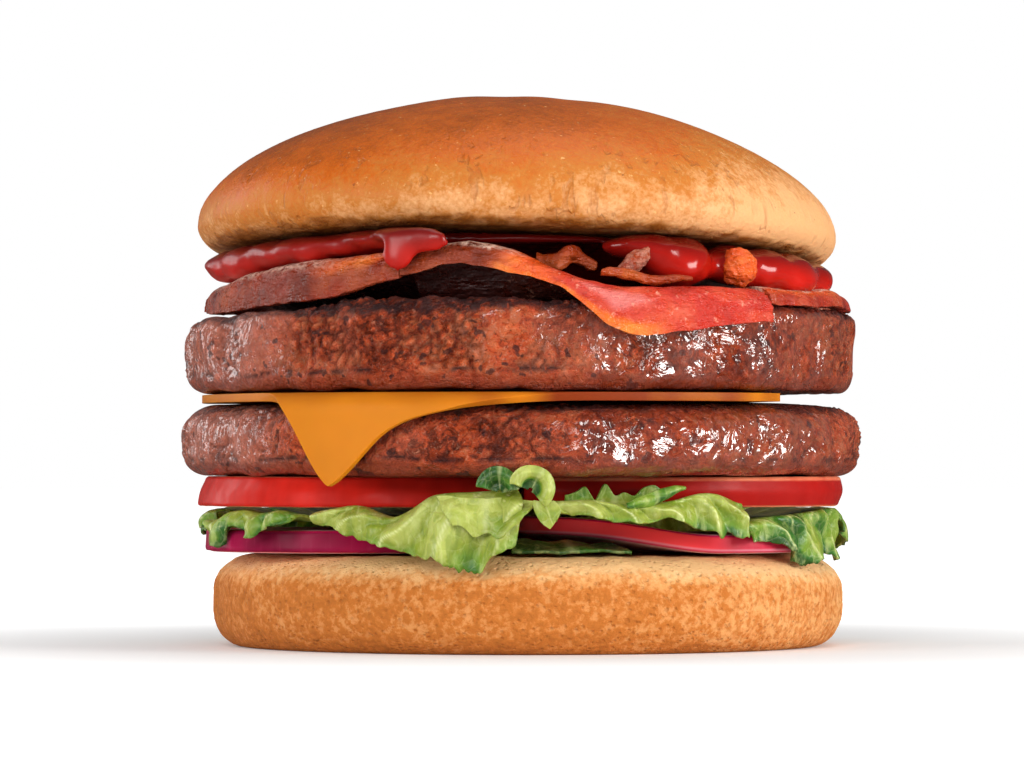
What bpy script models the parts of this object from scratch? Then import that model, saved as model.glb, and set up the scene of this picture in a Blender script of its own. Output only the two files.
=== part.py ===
"""A double cheeseburger with bacon, tomato, lettuce and red onion, built layer by layer.

The burger stands on the flat underside of its heel. +Z is up, -Y is the front, and the origin
is on the ground under the middle. Sizes are in millimetres until MM turns them into metres.
"""

import math

import bmesh
import bpy
from mathutils import Matrix, Vector, noise

MM = 0.001

# The stack, bottom to top. TOUCH is the gap left where one layer rests on another.
TOUCH = 0.3
HEEL_TOP = 15.0
TOMATO_LOW, TOMATO_HIGH = 22.7, 27.0
LOWER_PATTY_LOW, LOWER_PATTY_HIGH = 27.3, 38.6
CHEESE_LOW, CHEESE_THICK = 38.9, 1.3
UPPER_PATTY_LOW, UPPER_PATTY_HIGH = 40.5, 52.6
CROWN_HEIGHT = 25.7
CROWN_SEAT = 62.0

# The widths of the round layers.
HEEL_RADIUS, HEEL_X = 50.6, 1.0
LOWER_PATTY_RADIUS, UPPER_PATTY_RADIUS = 54.3, 53.6
CROWN_RADIUS, CROWN_X = 51.4, -0.6

# The upper patty is thicker at the front, and the crown leans back on what lies on it.
PATTY_SLOPE = (0.013, -0.030)
CROWN_SLOPE = (-0.0263, -0.082)

LEAF_THICK = 0.7


def clear_scene():
    for old in list(bpy.data.objects):
        bpy.data.objects.remove(old)


def material(name, colour, roughness):
    made = bpy.data.materials.new(name)
    made.use_nodes = True
    shader = made.node_tree.nodes["Principled BSDF"]
    shader.inputs["Base Color"].default_value = (*colour, 1.0)
    shader.inputs["Roughness"].default_value = roughness
    shader.inputs["Metallic"].default_value = 0.0
    return made


def add_object(name, bm, finish):
    bmesh.ops.recalc_face_normals(bm, faces=bm.faces)
    mesh = bpy.data.meshes.new(name)
    bm.to_mesh(mesh)
    bm.free()
    mesh.transform(Matrix.Scale(MM, 4))
    mesh.materials.append(finish)
    mesh.shade_smooth()
    obj = bpy.data.objects.new(name, mesh)
    bpy.context.scene.collection.objects.link(obj)
    return obj


def smooth_step(value):
    value = min(1.0, max(0.0, value))
    return value * value * (3 - 2 * value)


def along(values, share):
    """The value at this share of the way through evenly spaced values, on a smooth curve."""
    last = len(values) - 1
    place = min(max(share, 0.0), 1.0) * last
    i = min(int(place), last - 1)
    before, here, there, after = (values[min(max(i + k, 0), last)] for k in (-1, 0, 1, 2))
    t = place - i
    slope_here, slope_there = (there - before) / 2, (after - here) / 2
    return (
        (2 * t**3 - 3 * t**2 + 1) * here
        + (t**3 - 2 * t**2 + t) * slope_here
        + (3 * t**2 - 2 * t**3) * there
        + (t**3 - t**2) * slope_there
    )


def at_angle(degrees, radius, height):
    """A point by its angle from the front, positive to the right, as seen from above."""
    turn = math.radians(degrees)
    return Vector((radius * math.sin(turn), -radius * math.cos(turn), height))


def patty_top(x, y):
    return UPPER_PATTY_HIGH + PATTY_SLOPE[0] * x + PATTY_SLOPE[1] * y


def crown_seat(x, y):
    return CROWN_SEAT + CROWN_SLOPE[0] * x + CROWN_SLOPE[1] * y


def slab_profile(radius, low, high, low_corner, high_corner, arc_steps, face_rings, power=1.0):
    """Half the outline of a round slab, from the middle of its underside to the middle of its top.

    Each corner is a quarter ellipse, given by its depth inwards and its height. A power above 1
    makes the upper one leaner than an ellipse.
    """
    points = [(0.0, low)]
    points += [((radius - low_corner[0]) * k / face_rings, low) for k in range(1, face_rings)]
    for k in range(arc_steps[0] + 1):
        turn = math.pi / 2 * (k / arc_steps[0] - 1)
        points.append(
            (
                radius - low_corner[0] * (1 - math.cos(turn)),
                low + low_corner[1] * (1 + math.sin(turn)),
            )
        )
    for k in range(arc_steps[1] + 1):
        turn = math.pi / 2 * k / arc_steps[1]
        points.append(
            (
                radius - high_corner[0] * (1 - max(0.0, math.cos(turn)) ** power),
                high - high_corner[1] * (1 - math.sin(turn) ** power),
            )
        )
    if high_corner[0] < radius:
        inner = radius - high_corner[0]
        points += [(inner * k / face_rings, high) for k in range(face_rings - 1, 0, -1)]
        points.append((0.0, high))
    else:
        points[-1] = (0.0, high)
    return points


def turned(profile, steps):
    bm = bmesh.new()
    verts = [bm.verts.new((r, 0.0, z)) for r, z in profile]
    edges = [bm.edges.new(pair) for pair in zip(verts, verts[1:])]
    bmesh.ops.spin(
        bm, geom=verts + edges, cent=(0, 0, 0), axis=(0, 0, 1), angle=2 * math.pi, steps=steps,
        use_merge=True,
    )
    bmesh.ops.remove_doubles(bm, verts=bm.verts, dist=0.001)
    return bm


def heel():
    """The lower half of the bun: a soft slab with a flat base and a broad top shoulder."""
    bm = turned(
        slab_profile(HEEL_RADIUS, 0.0, HEEL_TOP, (4.6, 6.5), (8.0, 5.5), (3, 4), 2), steps=40
    )
    dent, low_rise = 0.5, 2.0
    for v in bm.verts:
        turn = math.atan2(v.co.y, v.co.x)
        out = smooth_step(math.hypot(v.co.x, v.co.y) / HEEL_RADIUS)
        lump = noise.noise(Vector((2.2 * math.cos(turn), 2.2 * math.sin(turn), v.co.z / 9)))
        swell = dent * out * lump * smooth_step(v.co.z / low_rise)
        v.co += Vector((math.cos(turn), math.sin(turn), 0)) * swell
    bmesh.ops.translate(bm, verts=bm.verts, vec=(HEEL_X, 0, 0))
    return bm


def crown():
    """The upper half of the bun: a domed top that leans back and to the right."""
    rounding, lean_dome = (5.5, 4.1), 1.08
    dome = (CROWN_RADIUS, CROWN_HEIGHT - rounding[1])
    bm = turned(
        slab_profile(CROWN_RADIUS, 0.0, CROWN_HEIGHT, rounding, dome, (3, 10), 2, lean_dome),
        steps=40,
    )
    sag = 0.7
    for v in bm.verts:
        turn = math.atan2(v.co.y, v.co.x)
        out = smooth_step(math.hypot(v.co.x, v.co.y) / CROWN_RADIUS)
        height = v.co.z / CROWN_HEIGHT
        lump = noise.noise(Vector((1.7 * math.cos(turn), 1.7 * math.sin(turn), 2.0 * height)))
        v.co += Vector((math.cos(turn), math.sin(turn), 0)) * sag * out * lump
        v.co.z += sag * lump * smooth_step(height)
    lean = Matrix.Rotation(math.atan(CROWN_SLOPE[1]), 3, "X")
    roll = Matrix.Rotation(-math.atan(CROWN_SLOPE[0]), 3, "Y")
    bmesh.ops.rotate(bm, verts=bm.verts, cent=(0, 0, 0), matrix=lean @ roll)
    bmesh.ops.translate(bm, verts=bm.verts, vec=(CROWN_X, 0, CROWN_SEAT))
    return bm


def crag(turn, z, seed):
    """How far the craggy side of a patty stands out, in millimetres: broad lumps, then small ones."""
    broad = Vector((4.2 * math.cos(turn), 4.2 * math.sin(turn), z / 16 + seed))
    small = Vector((10 * math.cos(turn), 10 * math.sin(turn), z / 5 + seed))
    return 1.3 * noise.noise(broad) + 0.7 * noise.noise(small)


def patty(radius, low, high, low_corner, high_corner, seed):
    """A pressed patty with a craggy side. Its faces only dip inwards, so its neighbours lie clear."""
    bm = turned(slab_profile(radius, low, high, low_corner, high_corner, (3, 3), 2), steps=52)
    most_out, face_dip = 0.9, 0.5
    middle = (low + high) / 2
    for v in bm.verts:
        turn = math.atan2(v.co.y, v.co.x)
        reach = math.hypot(v.co.x, v.co.y)
        side = smooth_step((reach - 0.8 * radius) / (0.14 * radius))
        out = min(most_out, crag(turn, v.co.z, seed)) * side
        dip = face_dip * abs(noise.noise(v.co / 7 + Vector((seed, 0, 0)))) * (1 - side / 2)
        v.co += Vector((math.cos(turn), math.sin(turn), 0)) * out
        v.co.z += dip if v.co.z < middle else -dip
    return bm


def lower_patty():
    return patty(
        LOWER_PATTY_RADIUS, LOWER_PATTY_LOW, LOWER_PATTY_HIGH, (3.6, 3.4), (6.0, 5.0), seed=3.0
    )


def upper_patty():
    bm = patty(
        UPPER_PATTY_RADIUS, UPPER_PATTY_LOW, UPPER_PATTY_HIGH, (3.6, 4.0), (6.0, 4.2), seed=11.0
    )
    for v in bm.verts:
        share = (v.co.z - UPPER_PATTY_LOW) / (UPPER_PATTY_HIGH - UPPER_PATTY_LOW)
        v.co.z += share * (patty_top(v.co.x, v.co.y) - UPPER_PATTY_HIGH)
    return bm


def laid_grid(columns, rows, place):
    """A sheet of columns by rows cells, each corner put where place(u, v) says, cut into triangles."""
    bm = bmesh.new()
    bmesh.ops.create_grid(bm, x_segments=columns, y_segments=rows, size=0.5)
    for v in bm.verts:
        v.co = place(v.co.x + 0.5, v.co.y + 0.5)
    bmesh.ops.triangulate(bm, faces=bm.faces)
    return bm


def thicken(obj, thickness):
    solid = obj.modifiers.new("thickness", "SOLIDIFY")
    solid.thickness = thickness * MM
    solid.offset = 0.0
    solid.use_even_offset = False
    solid.use_quality_normals = True


# The slice of cheese before it droops, by angle from the front and reach from the middle. Its
# front corner is the tip; the two lists run from the left corner to the tip, and from the tip to
# the right corner. It bends down where it passes the rest radius.
CHEESE_TIP_ANGLE, CHEESE_LEFT_ANGLE, CHEESE_RIGHT_ANGLE = -31.3, -99.0, 50.7
CHEESE_LEFT_REACH = (51.6, 51.4, 51.2, 51.4, 51.8, 52.4, 54.6, 69.0)
CHEESE_FRONT_REACH = (69.0, 60.4, 57.2, 55.6, 54.4, 53.8, 53.6, 53.4, 52.9)
CHEESE_BACK = Vector((25.0, 32.0))
CHEESE_REST_RADIUS, CHEESE_BEND = 54.0, 2.2


def flat_point(degrees, reach):
    return at_angle(degrees, reach, 0).xy


def cheese_edge(left_columns, front_columns, back_columns):
    """Points round the edge of the flat slice, closer together near the tip."""
    edge = []
    for k in range(left_columns):
        u = 1 - (1 - k / left_columns) ** 1.7
        angle = CHEESE_LEFT_ANGLE + (CHEESE_TIP_ANGLE - CHEESE_LEFT_ANGLE) * u
        edge.append(flat_point(angle, along(CHEESE_LEFT_REACH, u)))
    for k in range(front_columns):
        u = (k / front_columns) ** 1.4
        angle = CHEESE_TIP_ANGLE + (CHEESE_RIGHT_ANGLE - CHEESE_TIP_ANGLE) * u
        edge.append(flat_point(angle, along(CHEESE_FRONT_REACH, u)))
    right = flat_point(CHEESE_RIGHT_ANGLE, CHEESE_FRONT_REACH[-1])
    edge += [right.lerp(CHEESE_BACK, k / back_columns) for k in range(back_columns)]
    edge += [CHEESE_BACK.lerp(edge[0], k / back_columns) for k in range(back_columns + 1)]
    return edge


def cheese():
    edge = cheese_edge(8, 12, 4)
    lying_rows, rows, spread = 2, 8, 1.5
    knee_share = lying_rows / rows

    def place(u, v):
        rim = edge[round(u * (len(edge) - 1))]
        knee = min(0.93 * rim.length, CHEESE_REST_RADIUS)
        if v <= knee_share:
            along_ray = knee * v / knee_share
        else:
            share = (v - knee_share) / (1 - knee_share)
            along_ray = knee + (rim.length - knee) * share**spread
        outward = rim.normalized()
        over = max(0.0, along_ray - CHEESE_REST_RADIUS)
        turn = min(over / CHEESE_BEND, math.pi / 2)
        hang = over - turn * CHEESE_BEND
        reach = min(along_ray, CHEESE_REST_RADIUS) + CHEESE_BEND * math.sin(turn) + 0.04 * hang
        drop = CHEESE_BEND * (1 - math.cos(turn)) + hang
        return Vector(
            (outward.x * reach, outward.y * reach, CHEESE_LOW + CHEESE_THICK / 2 - drop)
        )

    bm = laid_grid(len(edge) - 1, rows, place)
    bmesh.ops.remove_doubles(bm, verts=bm.verts, dist=0.01)
    return bm


# Each tomato slice is a round slice butted against its neighbours where they would lap over.
TOMATO_RADIUS, TOMATO_REACH = 32.7, 20.6
TOMATO_ANGLES = {"tomato_left": -65.0, "tomato_right": 65.0, "tomato_back": 180.0}
TOMATO_FLARES = {
    "tomato_left": (0.0, 0.4, 1.4), "tomato_right": (0.8, 0.0, 0.4), "tomato_back": (0.6, 0.0, 0.8),
}
TOMATO_SEAM_ANGLES = (0.0, 122.5, -122.5)


def tomato(name):
    """One slice, wider at one face than the other, cut where it meets the next slice."""
    angle = TOMATO_ANGLES[name]
    low_inset, middle_inset, high_inset = TOMATO_FLARES[name]
    middle = (TOMATO_LOW + TOMATO_HIGH) / 2
    profile = [(0.0, TOMATO_LOW), (TOMATO_RADIUS - low_inset - 0.4, TOMATO_LOW)]
    profile += [(TOMATO_RADIUS - low_inset, TOMATO_LOW + 0.4), (TOMATO_RADIUS - middle_inset, middle)]
    profile += [(TOMATO_RADIUS - high_inset, TOMATO_HIGH - 0.4)]
    profile += [(TOMATO_RADIUS - high_inset - 0.4, TOMATO_HIGH), (0.0, TOMATO_HIGH)]
    bm = turned(profile, steps=28)
    lobes, lobe_depth = 5, 0.5
    for v in bm.verts:
        turn = math.atan2(v.co.y, v.co.x)
        out = math.hypot(v.co.x, v.co.y) / TOMATO_RADIUS
        v.co.xy *= 1 + lobe_depth * out * math.cos(lobes * turn + angle) / TOMATO_RADIUS
    bmesh.ops.translate(bm, verts=bm.verts, vec=at_angle(angle, TOMATO_REACH, 0))
    for seam in TOMATO_SEAM_ANGLES:
        outward = at_angle(seam, 1.0, 0)
        across = Vector((-outward.y, outward.x, 0))
        side = 1 if across.dot(at_angle(angle, 1.0, 0)) > 0 else -1
        apart = abs((angle - seam + 180) % 360 - 180)
        if apart > 100:
            continue
        cut_trim(bm, across * side * 0.4, -across * side)
    return bm


def cut_trim(bm, point, outward):
    """Cuts off what lies beyond a plane and closes the cut."""
    geometry = bm.verts[:] + bm.edges[:] + bm.faces[:]
    cut = bmesh.ops.bisect_plane(
        bm, geom=geometry, plane_co=point, plane_no=outward, clear_outer=True
    )
    rim = [e for e in cut["geom_cut"] if isinstance(e, bmesh.types.BMEdge)]
    bmesh.ops.holes_fill(bm, edges=rim, sides=0)


# The red onion slices: place in plan, radius, underside height and thickness.
ONIONS = {
    "onion_left": ((-25.4, -11.0), 24.8, 15.3, 3.6),
    "onion_right": ((22.4, -15.0), 23.0, 15.3, 2.9),
    "onion_back": ((1.0, 27.5), 22.0, 15.3, 3.4),
}
ONION_LIFT, ONION_LIFT_WAY = 2.8, Vector((-0.92, -0.39))


def onion(name):
    """A slice of onion. The right one is lifted at its left side by the leaf beneath it."""
    place, radius, low, thick = ONIONS[name]
    bevel = 0.7
    profile = [(0.0, low), (0.55 * radius, low), (radius - 1.4 * bevel, low)]
    profile += [(radius, low + bevel), (radius - 0.2, low + thick - 0.3)]
    profile += [(radius - 0.6, low + thick), (0.55 * radius, low + thick), (0.0, low + thick)]
    bm = turned(profile, steps=24)
    for v in bm.verts:
        turn = math.atan2(v.co.y, v.co.x)
        v.co.xy *= 1 + 0.012 * math.sin(3 * turn + radius)
        if name == "onion_right":
            share = v.co.xy.dot(ONION_LIFT_WAY) / radius
            v.co.z += ONION_LIFT * smooth_step(share)
    bmesh.ops.translate(bm, verts=bm.verts, vec=(*place, 0))
    return bm


# A skirt is a leaf or rasher that lies between two layers, comes out over their rim and hangs.
# angles: where it starts and ends, from the front. tuck: radius and height of its inner edge.
# crest and hem: heights of the fold and of the free edge, left to right. reach: radii of both.
# wave: how deep the ruffles are and how many there are.
LEAVES = {
    "lettuce_left": {
        "angles": (-69, -42), "tuck": (38, 20.4), "wave": (0.7, 4.5),
        "crest": (20.2, 21.4, 21.9, 21.4, 21.9, 21.2), "crest_reach": (50.2, 50.5),
        "hem": (19.8, 16.6, 19.6, 17.8, 19.4, 20.6), "hem_reach": (53.3, 53.2),
    },
    "lettuce_front": {
        "angles": (-38, -1), "tuck": (30, 20.5), "wave": (0.5, 3.0),
        "crest": (21.9, 22.6, 20.9, 24.2, 24.8, 25.2), "crest_reach": (49.0, 49.0),
        "hem": (20.3, 18.2, 16.6, 14.6, 12.9, 17.0), "hem_reach": (51.8, 53.0),
    },
    "lettuce_right": {
        "angles": (5, 41), "tuck": (43.5, 21.8), "wave": (0.4, 3.5),
        "crest": (23.4, 23.5, 22.8, 23.4, 24.6, 23.0), "crest_reach": (50.2, 51.6),
        "hem": (22.0, 21.0, 20.4, 20.6, 18.6, 18.0), "hem_reach": (51.9, 53.2),
    },
    "lettuce_tip": {
        "angles": (43, 77), "tuck": (36, 20.4), "wave": (0.6, 3.0),
        "crest": (19.8, 20.8, 21.2, 21.8, 22.0), "crest_reach": (49.0, 50.8),
        "hem": (17.4, 16.8, 13.6, 15.8, 13.9), "hem_reach": (51.5, 51.3),
    },
    "lettuce_far_right": {
        "angles": (80, 126), "tuck": (30, 20.4), "wave": (0.8, 4.0),
        "crest": (21.6, 22.0, 21.8, 22.0), "crest_reach": (49.0, 49.0),
        "hem": (18.4, 16.2, 18.6, 17.4), "hem_reach": (52.0, 52.0),
    },
    "lettuce_back": {
        "angles": (128, 188), "tuck": (30, 20.4), "wave": (0.9, 5.5),
        "crest": (21.9, 21.7, 22.0, 21.7, 22.0), "crest_reach": (49.0, 49.0),
        "hem": (18.6, 15.0, 17.0, 14.6, 17.6), "hem_reach": (52.0, 52.5),
    },
    "lettuce_back_left": {
        "angles": (190, 240), "tuck": (30, 20.4), "wave": (0.8, 4.5),
        "crest": (22.0, 21.7, 22.0, 21.7), "crest_reach": (49.0, 49.0),
        "hem": (17.4, 16.0, 18.2, 16.8), "hem_reach": (52.3, 52.0),
    },
    "lettuce_far_left": {
        "angles": (242, 280), "tuck": (34, 20.4), "wave": (0.7, 3.5),
        "crest": (21.8, 22.0, 21.7, 21.8), "crest_reach": (49.0, 48.4),
        "hem": (18.8, 17.0, 18.6, 19.4), "hem_reach": (52.0, 50.4),
    },
}
RASHER_THICK = 1.7
RASHERS = {
    "bacon_left": {
        "angles": (-88, -22.5), "tuck": (30, 54.4), "wave": (0.2, 3.0),
        "crest": (57.0, 57.2, 58.4, 59.6, 60.3, 61.1), "crest_reach": (46.5, 47.5),
        "hem": (53.4, 53.5, 53.8, 54.1, 54.9, 57.6), "hem_reach": (49.9, 51.2),
    },
    "bacon_front": {
        "angles": (-20.5, 43.5), "tuck": (40, 57.0), "wave": (0.25, 3.0),
        "crest": (60.7, 62.4, 61.4, 57.8, 55.6, 55.5, 55.6, 55.3),
        "crest_reach": (47.5, 47.5, 48.0, 49.5, 52.0, 52.5, 52.5, 52.0),
        "hem": (58.0, 59.8, 58.5, 56.0, 49.3, 49.5, 50.5, 51.2),
        "hem_reach": (51.0, 51.0, 51.5, 53.5, 56.4, 56.6, 56.6, 56.6),
    },
    "bacon_right": {
        "angles": (46, 98), "tuck": (24, 54.6), "wave": (0.3, 4.0),
        "crest": (55.9, 55.6, 56.1, 55.6, 55.4), "crest_reach": (49.0, 49.0),
        "hem": (54.4, 54.3, 54.6, 54.1, 53.8), "hem_reach": (53.0, 52.0),
    },
    "bacon_back": {
        "angles": (104, 168), "tuck": (20, 54.0), "wave": (0.4, 5.0),
        "crest": (54.6, 54.2, 54.8, 54.0), "crest_reach": (48.0, 48.0),
        "hem": (53.6, 53.0, 53.6, 52.9), "hem_reach": (53.0, 52.5),
    },
    "bacon_back_left": {
        "angles": (176, 262), "tuck": (20, 54.0), "wave": (0.4, 6.0),
        "crest": (54.2, 55.2, 54.6, 56.0, 57.0), "crest_reach": (48.0, 47.5),
        "hem": (52.8, 53.4, 53.0, 53.6, 53.8), "hem_reach": (52.5, 51.4),
    },
}


def skirt_point(form, u, v, late, rest_height=None):
    """u runs left to right, v from the tucked edge over the crest to the hem. late delays the rise."""
    first, last = form["angles"]
    angle = first + (last - first) * u
    depth, count = form["wave"]
    tuck_reach, tuck_height = form["tuck"]
    crest_reach = along(form["crest_reach"], u)
    hem_reach = along(form["hem_reach"], u)
    inner = at_angle(angle, tuck_reach, 0)
    if rest_height:
        tuck_height = rest_height(inner.x, inner.y)
    lie, over = 0.45, 0.62
    if v < lie:
        share = v / lie
        reach = tuck_reach + (crest_reach - tuck_reach) * share
        height = tuck_height + (along(form["crest"], u) - tuck_height) * smooth_step(share) ** late
    else:
        share = (v - lie) / (1 - lie)
        reach = crest_reach + (hem_reach - crest_reach) * math.sin(math.pi / 2 * share**over)
        fall = share**1.5
        height = along(form["crest"], u) * (1 - fall) + along(form["hem"], u) * fall
    ruffle = depth * smooth_step(v) * math.sin(2 * math.pi * count * u + 2.0 * v)
    return at_angle(angle, reach + ruffle, height)


def rasher_rest(x, y):
    return patty_top(x, y) + TOUCH + RASHER_THICK / 2 + 0.2


def leaf(name, columns=12, rows=5):
    return laid_grid(columns, rows, lambda u, v: skirt_point(LEAVES[name], u, v, 7))


def rasher(name, columns, rows=6):
    form = RASHERS[name]
    return laid_grid(columns, rows, lambda u, v: skirt_point(form, u, v, 2, rasher_rest))


def under_leaf():
    """The leaf that lies on the heel and lifts the right slice of onion."""

    def place(u, v):
        angle = -2.0 + 25.0 * u
        arch = (2.0 - 0.9 * u) * math.sin(math.pi * v) * (0.85 + 0.15 * math.sin(14 * u))
        return at_angle(angle, 26.0 + 17.5 * v, HEEL_TOP + TOUCH + LEAF_THICK / 2 + arch)

    return laid_grid(10, 6, place)


def crescent(columns, rows, middle, turns, radii, widths, reaches):
    """A strip of leaf bent round a middle (degrees from the front, height), its face to the front."""

    def place(u, v):
        turn = math.radians(turns[0] + (turns[1] - turns[0]) * u)
        width = widths[0] + (widths[1] - widths[0]) * math.sin(math.pi * u) ** 0.6
        radius = radii[0] + (radii[1] - radii[0]) * u + width * (v - 0.5)
        reach = reaches[0] + (reaches[1] - reaches[0]) * u + 0.4 * math.sin(math.pi * v)
        side = middle[0] + math.degrees(radius * math.cos(turn) / reach)
        return at_angle(side, reach, middle[1] + radius * math.sin(turn))

    return laid_grid(columns, rows, place)


def curl():
    """The pale curl of leaf that stands out in front of the tomato, over the middle of the front."""
    return crescent(12, 2, (1.4, 25.3), (165, -50), (2.6, 2.7), (0.9, 1.7), (55.6, 55.0))


def dark_curl():
    """The darker curl to its left."""
    return crescent(10, 2, (-3.6, 25.0), (170, 8), (3.0, 2.5), (1.0, 1.7), (54.4, 53.8))


def small_tip():
    """The short tip of leaf that hangs under the curl."""

    def place(u, v):
        width = 3.4 * math.sin(math.pi * (0.22 + 0.72 * v))
        return at_angle(3.6 + 0.9 * v + width * (u - 0.5), 53.4 + 0.4 * v, 23.5 - 3.9 * v)

    return laid_grid(4, 5, place)


def upright_frill():
    """The ragged leaf edge that stands between the right tomato and the leaf in front of it."""
    tops = (24.4, 24.9, 25.6, 23.9, 26.0, 24.4, 25.0, 24.6, 25.6, 25.9, 25.0)

    def place(u, v):
        lean = 0.5 * math.sin(9 * u)
        return at_angle(8.0 + 19.0 * u, 47.0 + 0.2 * u + lean * v * 0.4 + 0.5 * v,
                        22.9 + (along(tops, u) - 22.9) * v)

    return laid_grid(16, 2, place)


def bacon_strip():
    """The narrow browned strip that lies behind the fold of the front rasher."""

    def place(u, v):
        height = 58.0 - 0.3 * smooth_step(u * 3) + 0.15 * math.sin(7 * u)
        return at_angle(14.0 + 16.5 * u, 53.2 - 2.4 * v, height + 0.3 * v)

    return laid_grid(10, 2, place)


def chunk(angle, reach, height, half_sizes, turn_degrees, seed):
    """A lump of bacon or browned onion: a ball squeezed to size and dented."""
    bm = bmesh.new()
    bmesh.ops.create_icosphere(bm, subdivisions=2, radius=1.0)
    for v in bm.verts:
        v.co *= 1 + 0.16 * noise.noise(v.co * 1.6 + Vector((seed, seed, seed)))
        v.co = Vector((v.co.x * half_sizes[0], v.co.y * half_sizes[1], v.co.z * half_sizes[2]))
    turn = Matrix.Rotation(math.radians(turn_degrees), 3, "Y")
    bmesh.ops.rotate(bm, verts=bm.verts, cent=(0, 0, 0), matrix=turn)
    face_out = Matrix.Rotation(math.radians(angle), 3, "Z")
    bmesh.ops.rotate(bm, verts=bm.verts, cent=(0, 0, 0), matrix=face_out)
    bmesh.ops.translate(bm, verts=bm.verts, vec=at_angle(angle, reach, height))
    return bm


def browned_curl():
    """A browned, glossy curl that loops up behind the front rasher."""
    bm = bmesh.new()
    rings, sides, fat = 12, 7, 1.9
    loops = []
    for k in range(rings + 1):
        u = k / rings
        turn = math.radians(-200 + 480 * u)
        middle = at_angle(3.0 + 12.5 * u, 43.6 + 0.9 * math.cos(turn), 60.6 + 0.8 * math.sin(turn))
        girth = fat * (1.0 - 0.35 * u) * (0.4 + 0.6 * math.sin(math.pi * u) ** 0.5)
        ring = bmesh.ops.create_circle(bm, segments=sides, radius=girth)["verts"]
        tangent_turn = Matrix.Rotation(math.radians(90), 3, "Y")
        bmesh.ops.rotate(bm, verts=ring, cent=(0, 0, 0), matrix=tangent_turn)
        bmesh.ops.translate(bm, verts=ring, vec=middle)
        loops.append([e for e in {e for v in ring for e in v.link_edges}])
    for one, other in zip(loops, loops[1:]):
        bmesh.ops.bridge_loops(bm, edges=one + other)
    bmesh.ops.holes_fill(bm, edges=loops[0] + loops[-1], sides=0)
    return bm


# The ketchup's blobs: angle, radius, how far the top lies under the crown's underside, then half
# sizes along the rim, outwards and up.
BLOBS = (
    (-80, 45.6, 0.3, 8.0, 5.4, 2.4),
    (-58, 43.0, 0.3, 10.0, 6.4, 2.0),
    (-38, 42.4, 0.3, 9.5, 6.6, 1.7),
    (-17.5, 53.6, 0.9, 5.2, 2.2, 2.2),
    (-20.6, 54.2, 3.2, 2.7, 1.8, 2.3),
    (-22, 46.6, 0.3, 5.5, 8.0, 1.4),
    (32, 46.0, 0.3, 6.2, 5.0, 3.7),
    (60, 46.4, 0.3, 6.8, 6.2, 3.0),
    (84, 44.5, 0.3, 8.0, 5.5, 2.0),
    (116, 43.5, 0.3, 9.5, 5.0, 1.3),
    (155, 43.5, 0.3, 10.0, 4.5, 1.0),
    (200, 43.5, 0.3, 10.0, 4.5, 1.0),
    (245, 43.0, 0.3, 10.0, 5.0, 1.4),
)
KETCHUP_RADIUS, KETCHUP_LOW, KETCHUP_BELLY = 42.0, 4.4, 2.0


def ketchup(finish):
    """A spread of ketchup under the crown, with thick blobs squeezed out round its rim."""
    parts = bpy.data.collections.new("ketchup_parts")
    profile = [(0.0, 0.0), (20.0, 0.0), (30.0, 0.0), (KETCHUP_RADIUS - 1.0, 0.0)]
    profile += [(KETCHUP_RADIUS, 0.3)]
    profile += [(KETCHUP_RADIUS, 0.7), (KETCHUP_RADIUS - 1.0, 1.0), (0.0, 1.0)]
    bm = turned(profile, steps=28)
    for v in bm.verts:
        x, y = v.co.x, v.co.y
        low = patty_top(x, y) + KETCHUP_LOW
        front = smooth_step((-y - 20) / 16) * smooth_step((x + 30) / 12) * smooth_step((26 - x) / 14)
        low += 3.2 * smooth_step((-x - 12) / 18) + 5.0 * front
        low -= KETCHUP_BELLY * smooth_step((32 - math.hypot(x, y)) / 14)
        high = crown_seat(x, y) - TOUCH - 0.15
        v.co.z = low + (high - low) * v.co.z
    spread = add_object("ketchup", bm, finish)
    for k, (angle, reach, under, wide, deep, tall) in enumerate(BLOBS):
        place = at_angle(angle, reach, 0)
        place.z = crown_seat(place.x, place.y) - under - 1.06 * tall
        blob = bmesh.new()
        bmesh.ops.create_icosphere(blob, subdivisions=2, radius=1.0)
        bmesh.ops.scale(blob, verts=blob.verts, vec=(wide, deep, tall))
        face_out = Matrix.Rotation(math.radians(angle), 3, "Z")
        bmesh.ops.rotate(blob, verts=blob.verts, cent=(0, 0, 0), matrix=face_out)
        bmesh.ops.translate(blob, verts=blob.verts, vec=place)
        piece = add_object(f"ketchup_blob_{k}", blob, finish)
        bpy.context.scene.collection.objects.unlink(piece)
        parts.objects.link(piece)
    join = spread.modifiers.new("join", "BOOLEAN")
    join.operation = "UNION"
    join.operand_type = "COLLECTION"
    join.collection = parts
    join.solver = "MANIFOLD"
    return spread, parts


def apply_modifiers(obj):
    """Keeps the shape that the modifiers give as the object's own mesh."""
    bpy.context.view_layer.update()
    graph = bpy.context.evaluated_depsgraph_get()
    shaped = bpy.data.meshes.new_from_object(obj.evaluated_get(graph))
    obj.modifiers.clear()
    obj.data = shaped


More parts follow.
